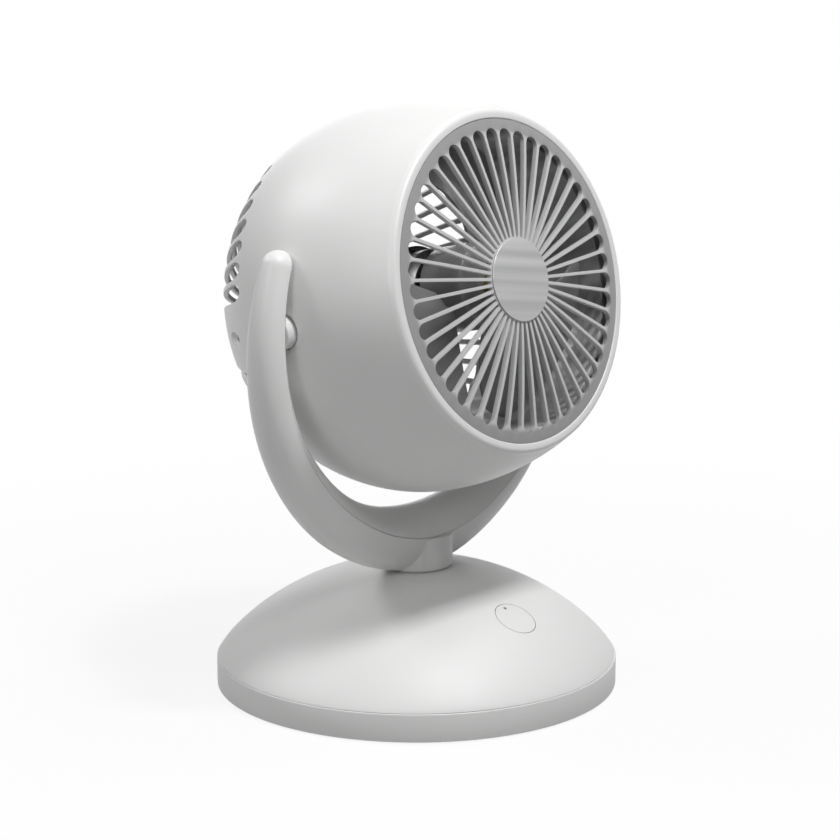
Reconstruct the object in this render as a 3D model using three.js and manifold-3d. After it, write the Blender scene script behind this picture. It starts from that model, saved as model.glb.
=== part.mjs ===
// An air circulator fan. A round head tilts between the two arms of a fork, and the fork turns from
// side to side on a domed base. Millimetres, +Z up, the feet stand on z = 0, the fork turns about
// the Z axis, and the fan faces -Y.
import * as THREE from 'three';
import { mergeVertices } from 'three/addons/utils/BufferGeometryUtils.js';
import Module from 'manifold-3d';

// ---------- Driving dimensions ----------
const GAP = 0.3; // between two pieces that touch
const WALL = 2.4; // of the moulded shells
const SIDES = 50; // flats round the large turned shells, one to each step of the rear vents
const BEYOND = 1; // how far a cutter runs past the face that it leaves

// Base
const BASE_RADIUS = 100;
const BAND_HEIGHT = 13.8;
const BAND_BEVEL = 0.8;
const FOOT_RADIUS = 9;
const FOOT_STANDS_OUT = 0.8;
const FOOT_RECESS = 1.2;
const FOOT_BEVEL = 0.5;
const FEET_INSIDE_BAND = 16; // the circle that the feet stand on
const DOME_INSIDE_BAND = 0.6;
const DOME_RISE = 46.3;
const DOME_FULLNESS = 2.07; // power of the radius in the dome's curve
const DOME_SHOULDER = 0.826; // power of what is left of the rise
const DOME_SKIRT = 4; // reaches down inside the band
const SKIRT_WALL = 1.6;
const LAND_RADIUS = 19; // flat top that the fork turns on
const BALLAST_INSIDE_BAND = 28;
const BALLAST_INNER = 20;
const BALLAST_THICK = 5;

// Screws
const SCREW_RADIUS = 1.4;
const SCREW_HEAD_RADIUS = 3.2;
const SCREW_HEAD_HEIGHT = 1.2;
const SCREW_CLEARANCE = 0.35;
const BOSS_RADIUS = 4;
const WEB_THICK = 3;
const BASE_SCREWS_INSIDE_BAND = 20;
const BASE_SCREW_LENGTH = 14;
const FRAME_SCREW_BITE = 6; // how far a screw goes into its boss
const BRACKET_SCREW_BITE = 6;
const SHELL_SCREW_LENGTH = 10;

// Power inlet, at the back of the band
const INLET_WIDTH = 9;
const INLET_HEIGHT = 9.4;
const INLET_DEPTH = 14;
const INLET_BORE = 3.2;
const INLET_BORE_DEPTH = 10;
const INLET_PIN = 1;
const INLET_PIN_SUNK = 1.5; // below the mouth

// Button, on the front of the dome
const BUTTON_INSIDE_BAND = 35.6;
const BUTTON_RADIUS = 10.4;
const BUTTON_GROOVE = 0.4;
const BUTTON_THICK = 2.6;
const BUTTON_TRAVEL = 0.8;
const BUTTON_STEM = 1.5;
const LENS_RADIUS = 0.8;
const LENS_FROM_CENTRE = 7.6;
const BOARD_WIDTH = 36;
const BOARD_DEPTH = 22;
const BOARD_THICK = 1.6;
const BOARD_BELOW_DOME = 11;
const BOARD_POST_RADIUS = 2;
const SWITCH_WIDTH = 6;
const SWITCH_HEIGHT = 4;

// Swivel drive, under the dome
const STEM_RADIUS = 13;
const STEM_BORE = 9;
const STEM_FLANGE_THICK = 4;
const WASHER_THICK = 0.7;
const GEAR_MODULE = 1.6;
const GEAR_TEETH = 30;
const PINION_TEETH = 10;
const GEAR_WIDTH = 6;
const PRESSURE_ANGLE = 25; // degrees
const BACKLASH = 0.4;
const FRAME_BEFORE_BUTTON = 16.4; // from its edge to the button's middle
const FRAME_THICK = 3;
const FRAME_POSTS_INSIDE_FRAME = 6;
const FRAME_BELOW_DOME_TOP = 22;
const CLIP_THICK = 2;
const CLIP_OUTER = 16;
const DRIVE_MOTOR_RADIUS = 12;
const DRIVE_MOTOR_HEIGHT = 17;
const DRIVE_SHAFT_RADIUS = 2.5;
const DRIVE_SHAFT_DEPTH = 6;

// Fork. Its section is a lens whose two edges lie on a U about the fork's centre. The values are
// at the foot, at three places up the arm and at the tip, evenly spread.
const FORK_TIP_ANGLE = 112.6; // degrees from straight down
const FORK_ROUND_ANGLE = 108.4; // where the tip starts to round off
const FORK_EDGE_OUTSIDE_HEAD = [17, 14.4, 11.7, 7.1, 4];
const FORK_HALF_WIDTH = [15.5, 15, 13.2, 11.1, 7.6];
const FORK_INNER_CROWN = [13.5, 9.4, 8.2, 3, 1.4];
const FORK_OUTER_CROWN = [18.5, 16.4, 12, 9.9, 9.2];
const FORK_STATIONS = 20;
const FORK_SECTION_POINTS = 7;
const COVER_EDGE = 0.9;
const NECK_RADIUS = 18;
const NECK_HEIGHT = 16.25;

// Head. The fan's own axis stands a little above the tilt axis.
const TILT_AXIS_ABOVE_FORK_CENTRE = 1;
const TILT_AXIS_FORWARD = 2;
const REST_TILT = 13.2; // degrees, nose up
const FACE_AHEAD = 61.8;
const FAN_ABOVE_TILT_AXIS = 4.7;
const HEAD_RADIUS = 96.6;
const FACE_TO_WIDEST = 60.6;
const NOSE_LENGTH = 118.8;
const NOSE_POWER = 1.906;
const TAIL_LENGTH = 96.3;
const TAIL_POWER = 1.946;
const SEAM_BEHIND_FACE = 88;
const BEZEL_WIDTH = 4.2;
const BEZEL_DEPTH = 3;
const BEZEL_ROUND = 0.6;

// Front grille
const GRILLE_SLOTS = 45;
const GRILLE_RIM = 4.5; // outside the slots
const GRILLE_TURN = 2.4; // degrees, so that no spoke stands quite upright
const SPOKE_WIDTH = 1.5;
const GRILLE_THICK = 2.6;
const GRILLE_SUNK = 0.3; // below the bezel's face
const GRILLE_DOME = 4.65; // rise from the rim to the middle
const GRILLE_DOME_POWER = 1.5;
const GRILLE_FLAT_RADIUS = 20.2;
const SLOT_INNER = 20.4;
const HUB_PLATE_RADIUS = 20;
const HUB_PLATE_THICK = 0.8;

// Rear shell
const VENT_PITCH = 7.2; // degrees
const VENTS_INSIDE_HEAD = 6.3;
const VENT_INNER = 36;
const VENT_RIB = 2.4;
const VENTS_ABOVE = 23;
const VENTS_BELOW = 21;
const SHELL_SCREWS_INSIDE_HEAD = 13.1;
const SHELL_SCREW_SEAT_DEPTH = 3; // behind the seam
const SHELL_BOSS_LENGTH = 9;
const SHELL_PILOT_DEPTH = 7;
const REAR_WEB_LENGTH = 12;

// Duct, motor and impeller
const DUCT_INSIDE_GRILLE = 4.3;
const DUCT_WALL = 1.6;
const DUCT_FRONT = 6; // behind the face
const DUCT_LENGTH = 78;
const DUCT_NOTCH_SIDE = 1.5; // clear of each bracket arm
const IMPELLER_FRONT = 15; // behind the face
const IMPELLER_HUB_RADIUS = 21;
const IMPELLER_HUB_LENGTH = 26;
const IMPELLER_HUB_WALL = 2;
const IMPELLER_HUB_ROUND = 4;
const BLADE_TO_DUCT = 3;
const BLADES = 3;
const BLADE_START = 194; // degrees round the fan's axis, of the first blade
const BLADE_THICK = 1.5;
const BLADE_ROOT_CHORD = 12;
const BLADE_TIP_CHORD = 106;
const BLADE_ROOT_PITCH = 36; // degrees
const BLADE_TIP_PITCH = 14;
const BLADE_SWEEP = 11;
const BLADE_CAMBER = 3;
const SHAFT_RADIUS = 2.5;
const NUT_RADIUS = 5;
const NUT_LENGTH = 5;
const NUT_WALL = 1.2;
const NUT_BEVEL = 1;
const MOTOR_RADIUS = 21;
const MOTOR_LENGTH = 24;
const MOTOR_BEVEL = 2;
const MOTOR_BEHIND_IMPELLER = 6;
const BRACKET_THICK = 3;
const BRACKET_ARM_WIDTH = 9;
const BRACKET_SCREWS_INSIDE_HEAD = 9.6;
const BRACKET_BOSS_LENGTH = 14;
const BRACKET_PILOT_DEPTH = 10;
const SHAFT_SEAT = 18; // how far the shaft reaches into the motor

// Tilt pins
const PIN_RADIUS = 8;
const PIN_CLEARANCE = 0.4;
const PIN_SHANK_RADIUS = 3.4;
const PIN_RECESS_RADIUS = 10.2;
const PIN_RECESS_DEPTH = 1.6;
const PIN_PAD_RADIUS = 15;
const PIN_PAD_DEPTH = 10.5; // from the widest part of the shell
const PIN_WASHER_RADIUS = 5;
const PIN_WASHER_THICK = 2;
const FRICTION_RING_RADIUS = 12.5;
const FRICTION_RING_THICK = 2.4;
const PIN_CLIP_THICK = 2;

// ---------- Places that follow from the dimensions ----------
const PAN_BOTTOM = FOOT_STANDS_OUT;
const PAN_FLOOR = PAN_BOTTOM + WALL;
const PAN_TOP = PAN_BOTTOM + BAND_HEIGHT;
const FEET_RADIUS = BASE_RADIUS - FEET_INSIDE_BAND;
const BASE_SCREWS_RADIUS = BASE_RADIUS - BASE_SCREWS_INSIDE_BAND;
const SCREW_HEAD_TOP = PAN_BOTTOM + SCREW_HEAD_HEIGHT;
const DOME_RIM_RADIUS = BASE_RADIUS - DOME_INSIDE_BAND;
const DOME_BOTTOM = PAN_TOP + GAP;
const LAND_Z = domeHeight(LAND_RADIUS);
const BUTTON_FROM_AXIS = BASE_RADIUS - BUTTON_INSIDE_BAND;
const FRAME_RADIUS = BUTTON_FROM_AXIS - FRAME_BEFORE_BUTTON;
const FRAME_POSTS_RADIUS = FRAME_RADIUS - FRAME_POSTS_INSIDE_FRAME;
const FRAME_TOP = LAND_Z - FRAME_BELOW_DOME_TOP;
const FRAME_BOTTOM = FRAME_TOP - FRAME_THICK;
const GEAR_BOTTOM = FRAME_TOP + GAP;
const GEAR_PITCH_RADIUS = (GEAR_MODULE * GEAR_TEETH) / 2;
const PINION_PITCH_RADIUS = (GEAR_MODULE * PINION_TEETH) / 2;
const DRIVE_FROM_AXIS = GEAR_PITCH_RADIUS + PINION_PITCH_RADIUS;
const BUTTON_SLOPE = Math.atan(-slopeOf(domeHeight, BUTTON_FROM_AXIS));

const edgeRadius = alongFork(FORK_EDGE_OUTSIDE_HEAD.map((outside) => HEAD_RADIUS + outside));
const halfWidth = alongFork(FORK_HALF_WIDTH);
const innerCrown = alongFork(FORK_INNER_CROWN);
const outerCrown = alongFork(FORK_OUTER_CROWN);
const NECK_BOTTOM = LAND_Z + GAP + WASHER_THICK + GAP;
const NECK_TOP = NECK_BOTTOM + NECK_HEIGHT;
const FORK_CENTRE_Z = NECK_TOP + edgeRadius(0);

const TILT_AXIS_Z = FORK_CENTRE_Z + TILT_AXIS_ABOVE_FORK_CENTRE;
const PIN_ANGLE = 90; // degrees up the fork
const PIN_PAD_FACE = HEAD_RADIUS - PIN_PAD_DEPTH;
const PIN_OUTER_END = edgeRadius(PIN_ANGLE) - innerCrown(PIN_ANGLE) - GAP;
const WASHER_INNER_FACE = edgeRadius(PIN_ANGLE) + GAP;
const PIN_HEIGHT_IN_HEAD = -FAN_ABOVE_TILT_AXIS;
const PIN_DEPTH_IN_HEAD = -FACE_AHEAD;

const GRILLE_RADIUS = headRadius(0) - BEZEL_WIDTH;
const SLOT_OUTER = GRILLE_RADIUS - GRILLE_RIM;
const GRILLE_FRONT = -GRILLE_SUNK;
const HUB_FRONT = GRILLE_FRONT + grilleRise(GRILLE_FLAT_RADIUS);
const SEAM = -SEAM_BEHIND_FACE;
const VENT_OUTER = HEAD_RADIUS - VENTS_INSIDE_HEAD;
const SHELL_SCREWS_RADIUS = HEAD_RADIUS - SHELL_SCREWS_INSIDE_HEAD;
const SHELL_SCREW_SEAT = SEAM - GAP - SHELL_SCREW_SEAT_DEPTH;
const DUCT_RADIUS = GRILLE_RADIUS - DUCT_INSIDE_GRILLE;
const DUCT_BACK = -DUCT_FRONT - DUCT_LENGTH;
const IMPELLER_RADIUS = DUCT_RADIUS - BLADE_TO_DUCT;
const IMPELLER_BACK = -IMPELLER_FRONT - IMPELLER_HUB_LENGTH;
const NUT_BACK = -IMPELLER_FRONT + GAP;
const MOTOR_FRONT = IMPELLER_BACK - MOTOR_BEHIND_IMPELLER;
const MOTOR_BACK = MOTOR_FRONT - MOTOR_LENGTH;
const BRACKET_FRONT = MOTOR_BACK - GAP;
const BRACKET_BACK = BRACKET_FRONT - BRACKET_THICK;
const BRACKET_SCREWS_RADIUS = HEAD_RADIUS - BRACKET_SCREWS_INSIDE_HEAD;

// Degrees round each circle, from +X
const FEET_ANGLES = [45, 135, 225, 315];
const BASE_SCREW_ANGLES = [20, 160, 200, 340];
const FRAME_POST_ANGLES = [60, 180, 300];
const BRACKET_ANGLES = [78, 102, 258, 282];
const SHELL_SCREW_ANGLES = [-3.6, 183.6];

// ---------- Materials ----------
function material(color, roughness, metalness = 0) {
  return new THREE.MeshStandardMaterial({ color, roughness, metalness });
}
const WHITE_PLASTIC = material(0xf1f1ef, 0.42);
const GRILLE_PLASTIC = material(0xc4c6c8, 0.4);
const BRUSHED_METAL = material(0xb9bbbd, 0.3, 0.8);
const DARK_PLASTIC = material(0x55585b, 0.5);
const BLADE_PLASTIC = material(0x9a9da0, 0.45);
const STEEL = material(0x9b9d9f, 0.35, 0.9);
const BRASS = material(0xb08d4c, 0.35, 0.9);
const RUBBER = material(0x2b2b2b, 0.85);
const BOARD_GREEN = material(0x2f6b46, 0.6);
const CLEAR_LENS = material(0x5a5f66, 0.2);
const SLIPPERY_PLASTIC = material(0xd9d7cf, 0.5);

// ---------- Solids ----------
const wasm = await Module();
wasm.setup();

// A closed geometry as a solid that can be cut and joined.
function solid(geometry) {
  const bare = new THREE.BufferGeometry();
  bare.setAttribute('position', geometry.getAttribute('position'));
  bare.setIndex(geometry.index);
  const merged = mergeVertices(bare, 1e-4);
  const corners = merged.index.array;
  const triangles = [];
  for (let i = 0; i < corners.length; i += 3) {
    const [a, b, c] = corners.slice(i, i + 3);
    if (a !== b && b !== c && c !== a) triangles.push(a, b, c);
  }
  const mesh = new wasm.Mesh({
    numProp: 3,
    vertProperties: merged.getAttribute('position').array,
    triVerts: new Uint32Array(triangles),
  });
  return new wasm.Manifold(mesh);
}

// A solid as a geometry again.
function skin(body) {
  const mesh = body.getMesh();
  const geometry = new THREE.BufferGeometry();
  geometry.setAttribute('position', new THREE.BufferAttribute(mesh.vertProperties, 3));
  geometry.setIndex(new THREE.BufferAttribute(mesh.triVerts, 1));
  return geometry;
}

function join(...bodies) {
  return skin(bodies.map(solid).reduce((whole, next) => whole.add(next)));
}

function cut(body, ...tools) {
  return skin(tools.reduce((left, tool) => left.subtract(solid(tool)), solid(body)));
}

function common(first, second) {
  return skin(solid(first).intersect(solid(second)));
}

// Turned about Z from an outline of [radius, height] pairs that goes anticlockwise.
function turned(outline, sides = SIDES) {
  const points = [...outline, outline[0]].map(([r, z]) => new THREE.Vector2(r, z));
  return new THREE.LatheGeometry(points, sides).rotateX(Math.PI / 2);
}

function rod(radius, from, to, sides = 24) {
  const [low, high] = from < to ? [from, to] : [to, from];
  return turned([[0, low], [radius, low], [radius, high], [0, high]], sides);
}

function tube(inner, outer, from, to, sides = 32) {
  return turned([[inner, from], [outer, from], [outer, to], [inner, to]], sides);
}

function block(width, depth, height, x, y, z) {
  return new THREE.BoxGeometry(width, depth, height).translate(x, y, z);
}

// A body swept through rings of points. A ring goes out along one side of the section and comes
// back along the other, so the end faces are strips between the two sides.
function swept(rings) {
  const count = rings[0].length;
  const corners = rings.flat().flatMap((point) => point.toArray());
  const faces = [];
  for (let k = 0; k + 1 < rings.length; k++) {
    for (let i = 0; i < count; i++) {
      const a = k * count + i;
      const b = k * count + ((i + 1) % count);
      faces.push(a, b, b + count, a, b + count, a + count);
    }
  }
  const last = (rings.length - 1) * count;
  for (let i = 0; i + 1 < count - 1 - i; i++) {
    const [a, b, c, d] = [i, i + 1, count - 2 - i, count - 1 - i];
    faces.push(a, c, b, a, d, c);
    faces.push(last + a, last + b, last + c, last + a, last + c, last + d);
  }
  const geometry = new THREE.BufferGeometry();
  geometry.setAttribute('position', new THREE.Float32BufferAttribute(corners, 3));
  geometry.setIndex(faces);
  return geometry;
}

function radians(degrees) {
  return THREE.MathUtils.degToRad(degrees);
}

// Turns a piece made along Z so that it lies along X.
function alongX(geometry) {
  return geometry.rotateY(Math.PI / 2);
}

// Copies of a piece at the given angles round Z, at one radius. Angle 0 is +X.
function aroundZ(make, radius, angles) {
  return angles.map((angle) => {
    const turn = radians(angle);
    return make().translate(radius * Math.cos(turn), radius * Math.sin(turn), 0);
  });
}

function polar(radius, angle) {
  return new THREE.Vector2(radius * Math.cos(angle), radius * Math.sin(angle));
}

function slopeOf(curve, at) {
  const step = 0.01;
  return (curve(at + step) - curve(at - step)) / (2 * step);
}

// The points of a curve of [radius, height] pairs moved square to it by a distance.
function offset(points, distance) {
  return points.map(([r, z], i) => {
    const [r0, z0] = points[Math.max(i - 1, 0)];
    const [r1, z1] = points[Math.min(i + 1, points.length - 1)];
    const length = Math.hypot(r1 - r0, z1 - z0);
    return [r - ((z1 - z0) / length) * distance, z + ((r1 - r0) / length) * distance];
  });
}

// A coarser version of a curve, for a surface that is out of sight.
function everySecond(points) {
  return points.filter((_, i) => i % 2 === 0 || i === points.length - 1);
}

// A self-tapping screw whose head's underside is at z = 0 and whose shank points up.
function screw(length) {
  return turned([
    [0, -SCREW_HEAD_HEIGHT],
    [SCREW_HEAD_RADIUS, -SCREW_HEAD_HEIGHT],
    [SCREW_HEAD_RADIUS, 0],
    [SCREW_RADIUS, 0],
    [SCREW_RADIUS, length - SCREW_RADIUS],
    [0, length],
  ], 10);
}

// ---------- Base ----------
function domeHeight(radius) {
  const spread = (radius / DOME_RIM_RADIUS) ** DOME_FULLNESS;
  return PAN_TOP + DOME_RISE * Math.max(1 - spread, 0) ** DOME_SHOULDER;
}

// The dome's outer curve, from the rim to the edge of the flat top.
function domeCurve(steps = 7) {
  const points = [];
  for (let i = 0; i <= steps; i++) {
    const r = DOME_RIM_RADIUS - (DOME_RIM_RADIUS - LAND_RADIUS) * (i / steps) ** 1.5;
    points.push([r, Math.max(domeHeight(r), DOME_BOTTOM)]);
  }
  return points;
}

// The whole space under a curve that lies a distance inside the dome's outside.
function underDome(inside) {
  const curve = offset(domeCurve(), inside);
  return turned([[0, 0], [curve[0][0], 0], ...curve, [0, LAND_Z - inside]]);
}

function basePan() {
  const shell = turned([
    [0, PAN_BOTTOM],
    [BASE_RADIUS - BAND_BEVEL, PAN_BOTTOM],
    [BASE_RADIUS, PAN_BOTTOM + BAND_BEVEL],
    [BASE_RADIUS, PAN_TOP],
    [BASE_RADIUS - WALL, PAN_TOP],
    [BASE_RADIUS - WALL, PAN_FLOOR],
    [0, PAN_FLOOR],
  ]);
  const recess = () => rod(FOOT_RADIUS + GAP, 0, PAN_BOTTOM + FOOT_RECESS, 16);
  const hole = () => rod(SCREW_RADIUS + SCREW_CLEARANCE, 0, PAN_FLOOR + GAP, 10);
  const sink = () => rod(SCREW_HEAD_RADIUS + SCREW_CLEARANCE, 0, SCREW_HEAD_TOP + GAP, 12);
  const window = block(
    INLET_WIDTH + 2 * GAP, 4 * WALL, INLET_HEIGHT + 2 * GAP,
    0, BASE_RADIUS - WALL, PAN_FLOOR + GAP + INLET_HEIGHT / 2,
  );
  return cut(
    shell,
    ...aroundZ(recess, FEET_RADIUS, FEET_ANGLES),
    ...aroundZ(hole, BASE_SCREWS_RADIUS, BASE_SCREW_ANGLES),
    ...aroundZ(sink, BASE_SCREWS_RADIUS, BASE_SCREW_ANGLES),
    window,
  );
}

function baseDome() {
  const outer = domeCurve();
  const skirtRadius = BASE_RADIUS - WALL - GAP;
  const inner = everySecond(offset(outer, WALL))
    .filter(([r]) => r < skirtRadius - SKIRT_WALL)
    .reverse();
  const bore = STEM_RADIUS + GAP;
  const shell = turned([
    [DOME_RIM_RADIUS, DOME_BOTTOM],
    ...outer.slice(1),
    [bore, LAND_Z],
    [bore, LAND_Z - WALL],
    ...inner,
    [skirtRadius - SKIRT_WALL, DOME_BOTTOM - DOME_SKIRT],
    [skirtRadius, DOME_BOTTOM - DOME_SKIRT],
    [skirtRadius, DOME_BOTTOM],
  ]);
  const screwPost = () => rod(BOSS_RADIUS, PAN_FLOOR + GAP, LAND_Z, 12);
  const framePost = () => rod(BOSS_RADIUS, FRAME_TOP + GAP, LAND_Z, 12);
  const pilot = (from) => () => rod(SCREW_RADIUS + GAP, 0, from, 10);
  const boardPosts = [-1, 1].map((side) => intoButtonPlace(
    rod(BOARD_POST_RADIUS, -BOARD_BELOW_DOME + GAP, 0, 12).translate(boardPostX(side), 0, 0),
  ));
  const posts = common(
    join(
      ...aroundZ(screwPost, BASE_SCREWS_RADIUS, BASE_SCREW_ANGLES),
      ...aroundZ(framePost, FRAME_POSTS_RADIUS, FRAME_POST_ANGLES),
      ...boardPosts,
    ),
    underDome(WALL / 2),
  );
  const buttonHole = intoButtonPlace(
    rod(BUTTON_RADIUS + BUTTON_GROOVE, -BUTTON_THICK * 3, BUTTON_THICK * 3, 40),
  );
  const inletNotch = block(
    INLET_WIDTH + 4 * GAP, INLET_DEPTH, INLET_HEIGHT + 2 * GAP,
    0, BASE_RADIUS - INLET_DEPTH / 2, PAN_FLOOR + GAP + INLET_HEIGHT / 2,
  );
  return cut(
    join(shell, posts),
    inletNotch,
    ...aroundZ(pilot(PAN_FLOOR + BASE_SCREW_LENGTH), BASE_SCREWS_RADIUS, BASE_SCREW_ANGLES),
    ...aroundZ(pilot(FRAME_TOP + FRAME_SCREW_BITE + GAP), FRAME_POSTS_RADIUS, FRAME_POST_ANGLES),
    buttonHole,
  );
}

function ballastPlate() {
  const bottom = PAN_FLOOR + GAP;
  const outer = BASE_RADIUS - BALLAST_INSIDE_BAND;
  return tube(BALLAST_INNER, outer, bottom, bottom + BALLAST_THICK, 48);
}

function foot() {
  const top = PAN_BOTTOM + FOOT_RECESS - GAP;
  return turned([
    [0, 0],
    [FOOT_RADIUS - FOOT_BEVEL, 0],
    [FOOT_RADIUS, FOOT_BEVEL],
    [FOOT_RADIUS, top],
    [0, top],
  ], 16);
}

function powerInlet() {
  const body = block(
    INLET_WIDTH, INLET_DEPTH, INLET_HEIGHT,
    0, BASE_RADIUS - BAND_BEVEL - INLET_DEPTH / 2, PAN_FLOOR + GAP + INLET_HEIGHT / 2,
  );
  const mouth = BASE_RADIUS - BAND_BEVEL;
  const alongY = (geometry) => geometry
    .rotateX(-Math.PI / 2)
    .translate(0, mouth, PAN_FLOOR + GAP + INLET_HEIGHT / 2);
  const bore = alongY(rod(INLET_BORE, -INLET_BORE_DEPTH, BEYOND, 16));
  const pin = alongY(rod(INLET_PIN, -INLET_BORE_DEPTH - INLET_PIN, -INLET_PIN_SUNK, 10));
  return join(cut(body, bore), pin);
}

// ---------- Button ----------
// Moves a piece made about the button's own axis to its place in the dome.
function intoButtonPlace(geometry) {
  return geometry
    .rotateX(BUTTON_SLOPE)
    .translate(0, -BUTTON_FROM_AXIS, domeHeight(BUTTON_FROM_AXIS));
}

function fromButtonPlace(geometry) {
  return geometry
    .translate(0, BUTTON_FROM_AXIS, -domeHeight(BUTTON_FROM_AXIS))
    .rotateX(-BUTTON_SLOPE);
}

function boardPostX(side) {
  return side * (BUTTON_RADIUS + BUTTON_GROOVE + 1.5 * BOARD_POST_RADIUS);
}

function powerButton() {
  const dome = fromButtonPlace(underDome(0));
  const hollow = fromButtonPlace(underDome(BUTTON_THICK));
  const cap = common(rod(BUTTON_RADIUS, -BUTTON_THICK * 3, BUTTON_THICK * 3, 40), dome);
  const switchTop = -BOARD_BELOW_DOME + SWITCH_HEIGHT;
  const stem = rod(BUTTON_STEM, switchTop - BUTTON_TRAVEL, -BUTTON_THICK / 2, 12);
  const lensHole = rod(LENS_RADIUS + GAP / 2, -BUTTON_THICK * 3, BUTTON_THICK * 3, 12)
    .translate(0, LENS_FROM_CENTRE, 0);
  return join(cut(cap, hollow, lensHole), stem);
}

function indicatorLens() {
  const dome = fromButtonPlace(underDome(0));
  const light = rod(LENS_RADIUS, -BUTTON_THICK * 2.2, BUTTON_THICK, 12);
  return common(light.translate(0, LENS_FROM_CENTRE, 0), dome);
}

function controlBoard() {
  const middle = -BOARD_BELOW_DOME - BOARD_THICK / 2;
  return block(BOARD_WIDTH, BOARD_DEPTH, BOARD_THICK, 0, 0, middle);
}

function tactSwitch() {
  const bottom = -BOARD_BELOW_DOME + GAP;
  const top = -BOARD_BELOW_DOME + SWITCH_HEIGHT;
  const body = block(SWITCH_WIDTH, SWITCH_WIDTH, top - bottom, 0, 0, (top + bottom) / 2);
  return cut(body, rod(BUTTON_STEM + GAP, top - 2 * BUTTON_TRAVEL - GAP, top + BEYOND, 12));
}

// ---------- Swivel drive ----------
// A spur gear with involute flanks, with one tooth centred on +X.
function gear(teeth, holeRadius, width) {
  const pitchRadius = (GEAR_MODULE * teeth) / 2;
  const pressure = radians(PRESSURE_ANGLE);
  const baseRadius = pitchRadius * Math.cos(pressure);
  const rootRadius = pitchRadius - 1.25 * GEAR_MODULE;
  const tipRadius = pitchRadius + GEAR_MODULE;
  const involute = (angle) => Math.tan(angle) - angle;
  const halfAtPitch = Math.PI / (2 * teeth) - BACKLASH / (4 * pitchRadius);
  const halfAngle = (r) => {
    const there = Math.acos(Math.min(baseRadius / Math.max(r, baseRadius), 1));
    return halfAtPitch + involute(pressure) - involute(there);
  };
  const rising = [rootRadius, pitchRadius, tipRadius].map((r) => [r, -halfAngle(r)]);
  const falling = rising.map(([r, half]) => [r, -half]).reverse();
  const outline = [];
  for (let i = 0; i < teeth; i++) {
    const middle = (i * 2 * Math.PI) / teeth;
    outline.push(...[...rising, ...falling].map(([r, angle]) => polar(r, middle + angle)));
  }
  const body = new THREE.ExtrudeGeometry(new THREE.Shape(outline), {
    depth: width, bevelEnabled: false,
  });
  return holeRadius ? cut(body, rod(holeRadius, -BEYOND, width + BEYOND, 32)) : body;
}

function swivelGear() {
  return gear(GEAR_TEETH, STEM_RADIUS + GAP, GEAR_WIDTH)
    .rotateZ(Math.PI / 2)
    .translate(0, 0, GEAR_BOTTOM);
}

// The pinion and its shaft, about the drive motor's own axis.
function drivePinion() {
  const halfTooth = Math.PI / PINION_TEETH;
  const wheel = gear(PINION_TEETH, 0, GEAR_WIDTH)
    .rotateZ(-Math.PI / 2 + halfTooth)
    .translate(0, 0, GEAR_BOTTOM);
  const shaftEnd = FRAME_BOTTOM - DRIVE_SHAFT_DEPTH;
  return join(wheel, rod(DRIVE_SHAFT_RADIUS, shaftEnd, GEAR_BOTTOM + GEAR_WIDTH / 2, 16));
}

function driveMotor() {
  const top = FRAME_BOTTOM - GAP;
  const body = rod(DRIVE_MOTOR_RADIUS, top - DRIVE_MOTOR_HEIGHT, top, 28);
  return cut(body, rod(DRIVE_SHAFT_RADIUS + GAP, top - DRIVE_SHAFT_DEPTH, top + BEYOND, 16));
}

function swivelFrame() {
  const plate = rod(FRAME_RADIUS, FRAME_BOTTOM, FRAME_TOP, 36);
  const drill = (radius, sides) => rod(radius, FRAME_BOTTOM - BEYOND, FRAME_TOP + BEYOND, sides);
  const shaftHole = drill(1.4 * DRIVE_SHAFT_RADIUS, 16).translate(0, DRIVE_FROM_AXIS, 0);
  const hole = () => drill(SCREW_RADIUS + SCREW_CLEARANCE, 12);
  return cut(
    plate,
    drill(STEM_RADIUS + GAP, 24),
    shaftHole,
    ...aroundZ(hole, FRAME_POSTS_RADIUS, FRAME_POST_ANGLES),
  );
}

function swivelStem() {
  const bottom = FRAME_BOTTOM - GAP - 1.5 * CLIP_THICK;
  const seat = NECK_BOTTOM + WALL + GAP;
  return turned([
    [STEM_BORE, bottom],
    [STEM_RADIUS, bottom],
    [STEM_RADIUS, seat],
    [NECK_RADIUS - WALL - GAP, seat],
    [NECK_RADIUS - WALL - GAP, seat + STEM_FLANGE_THICK],
    [STEM_BORE, seat + STEM_FLANGE_THICK],
  ], 32);
}

function stemClip() {
  const top = FRAME_BOTTOM - GAP;
  return tube(STEM_RADIUS + GAP, CLIP_OUTER, top - CLIP_THICK, top);
}

function thrustWasher() {
  return tube(STEM_RADIUS + GAP, NECK_RADIUS - 1, LAND_Z + GAP, LAND_Z + GAP + WASHER_THICK, 32);
}

// ---------- Fork ----------
// A smooth value up the arm, the same on both sides, through the values at five even places.
function alongFork(values) {
  const mirrored = [...values.slice(1).reverse(), ...values];
  const curve = new THREE.SplineCurve(mirrored.map((value, i) => new THREE.Vector2(i, value)));
  return (angle) => curve.getPoint((angle / FORK_TIP_ANGLE + 1) / 2).y;
}

// 1 along the arm, falling to nothing in a round at the tip.
function tipRound(angle) {
  const past = (Math.abs(angle) - FORK_ROUND_ANGLE) / (FORK_TIP_ANGLE - FORK_ROUND_ANGLE);
  return past > 0 ? Math.sqrt(Math.max(1 - past ** 2, 0.01)) : 1;
}

// Even angles along the fork up to an end, and closer ones where the tip rounds off.
function forkAngles(end) {
  const even = Math.min(end, FORK_ROUND_ANGLE);
  const half = [];
  for (let i = 0; i <= FORK_STATIONS / 2; i++) half.push((even * i) / (FORK_STATIONS / 2));
  if (end > even) half.push(...[0.5, 0.82, 1].map((share) => even + (end - even) * share));
  return [...half.slice(1).reverse().map((angle) => -angle), ...half];
}

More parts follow.
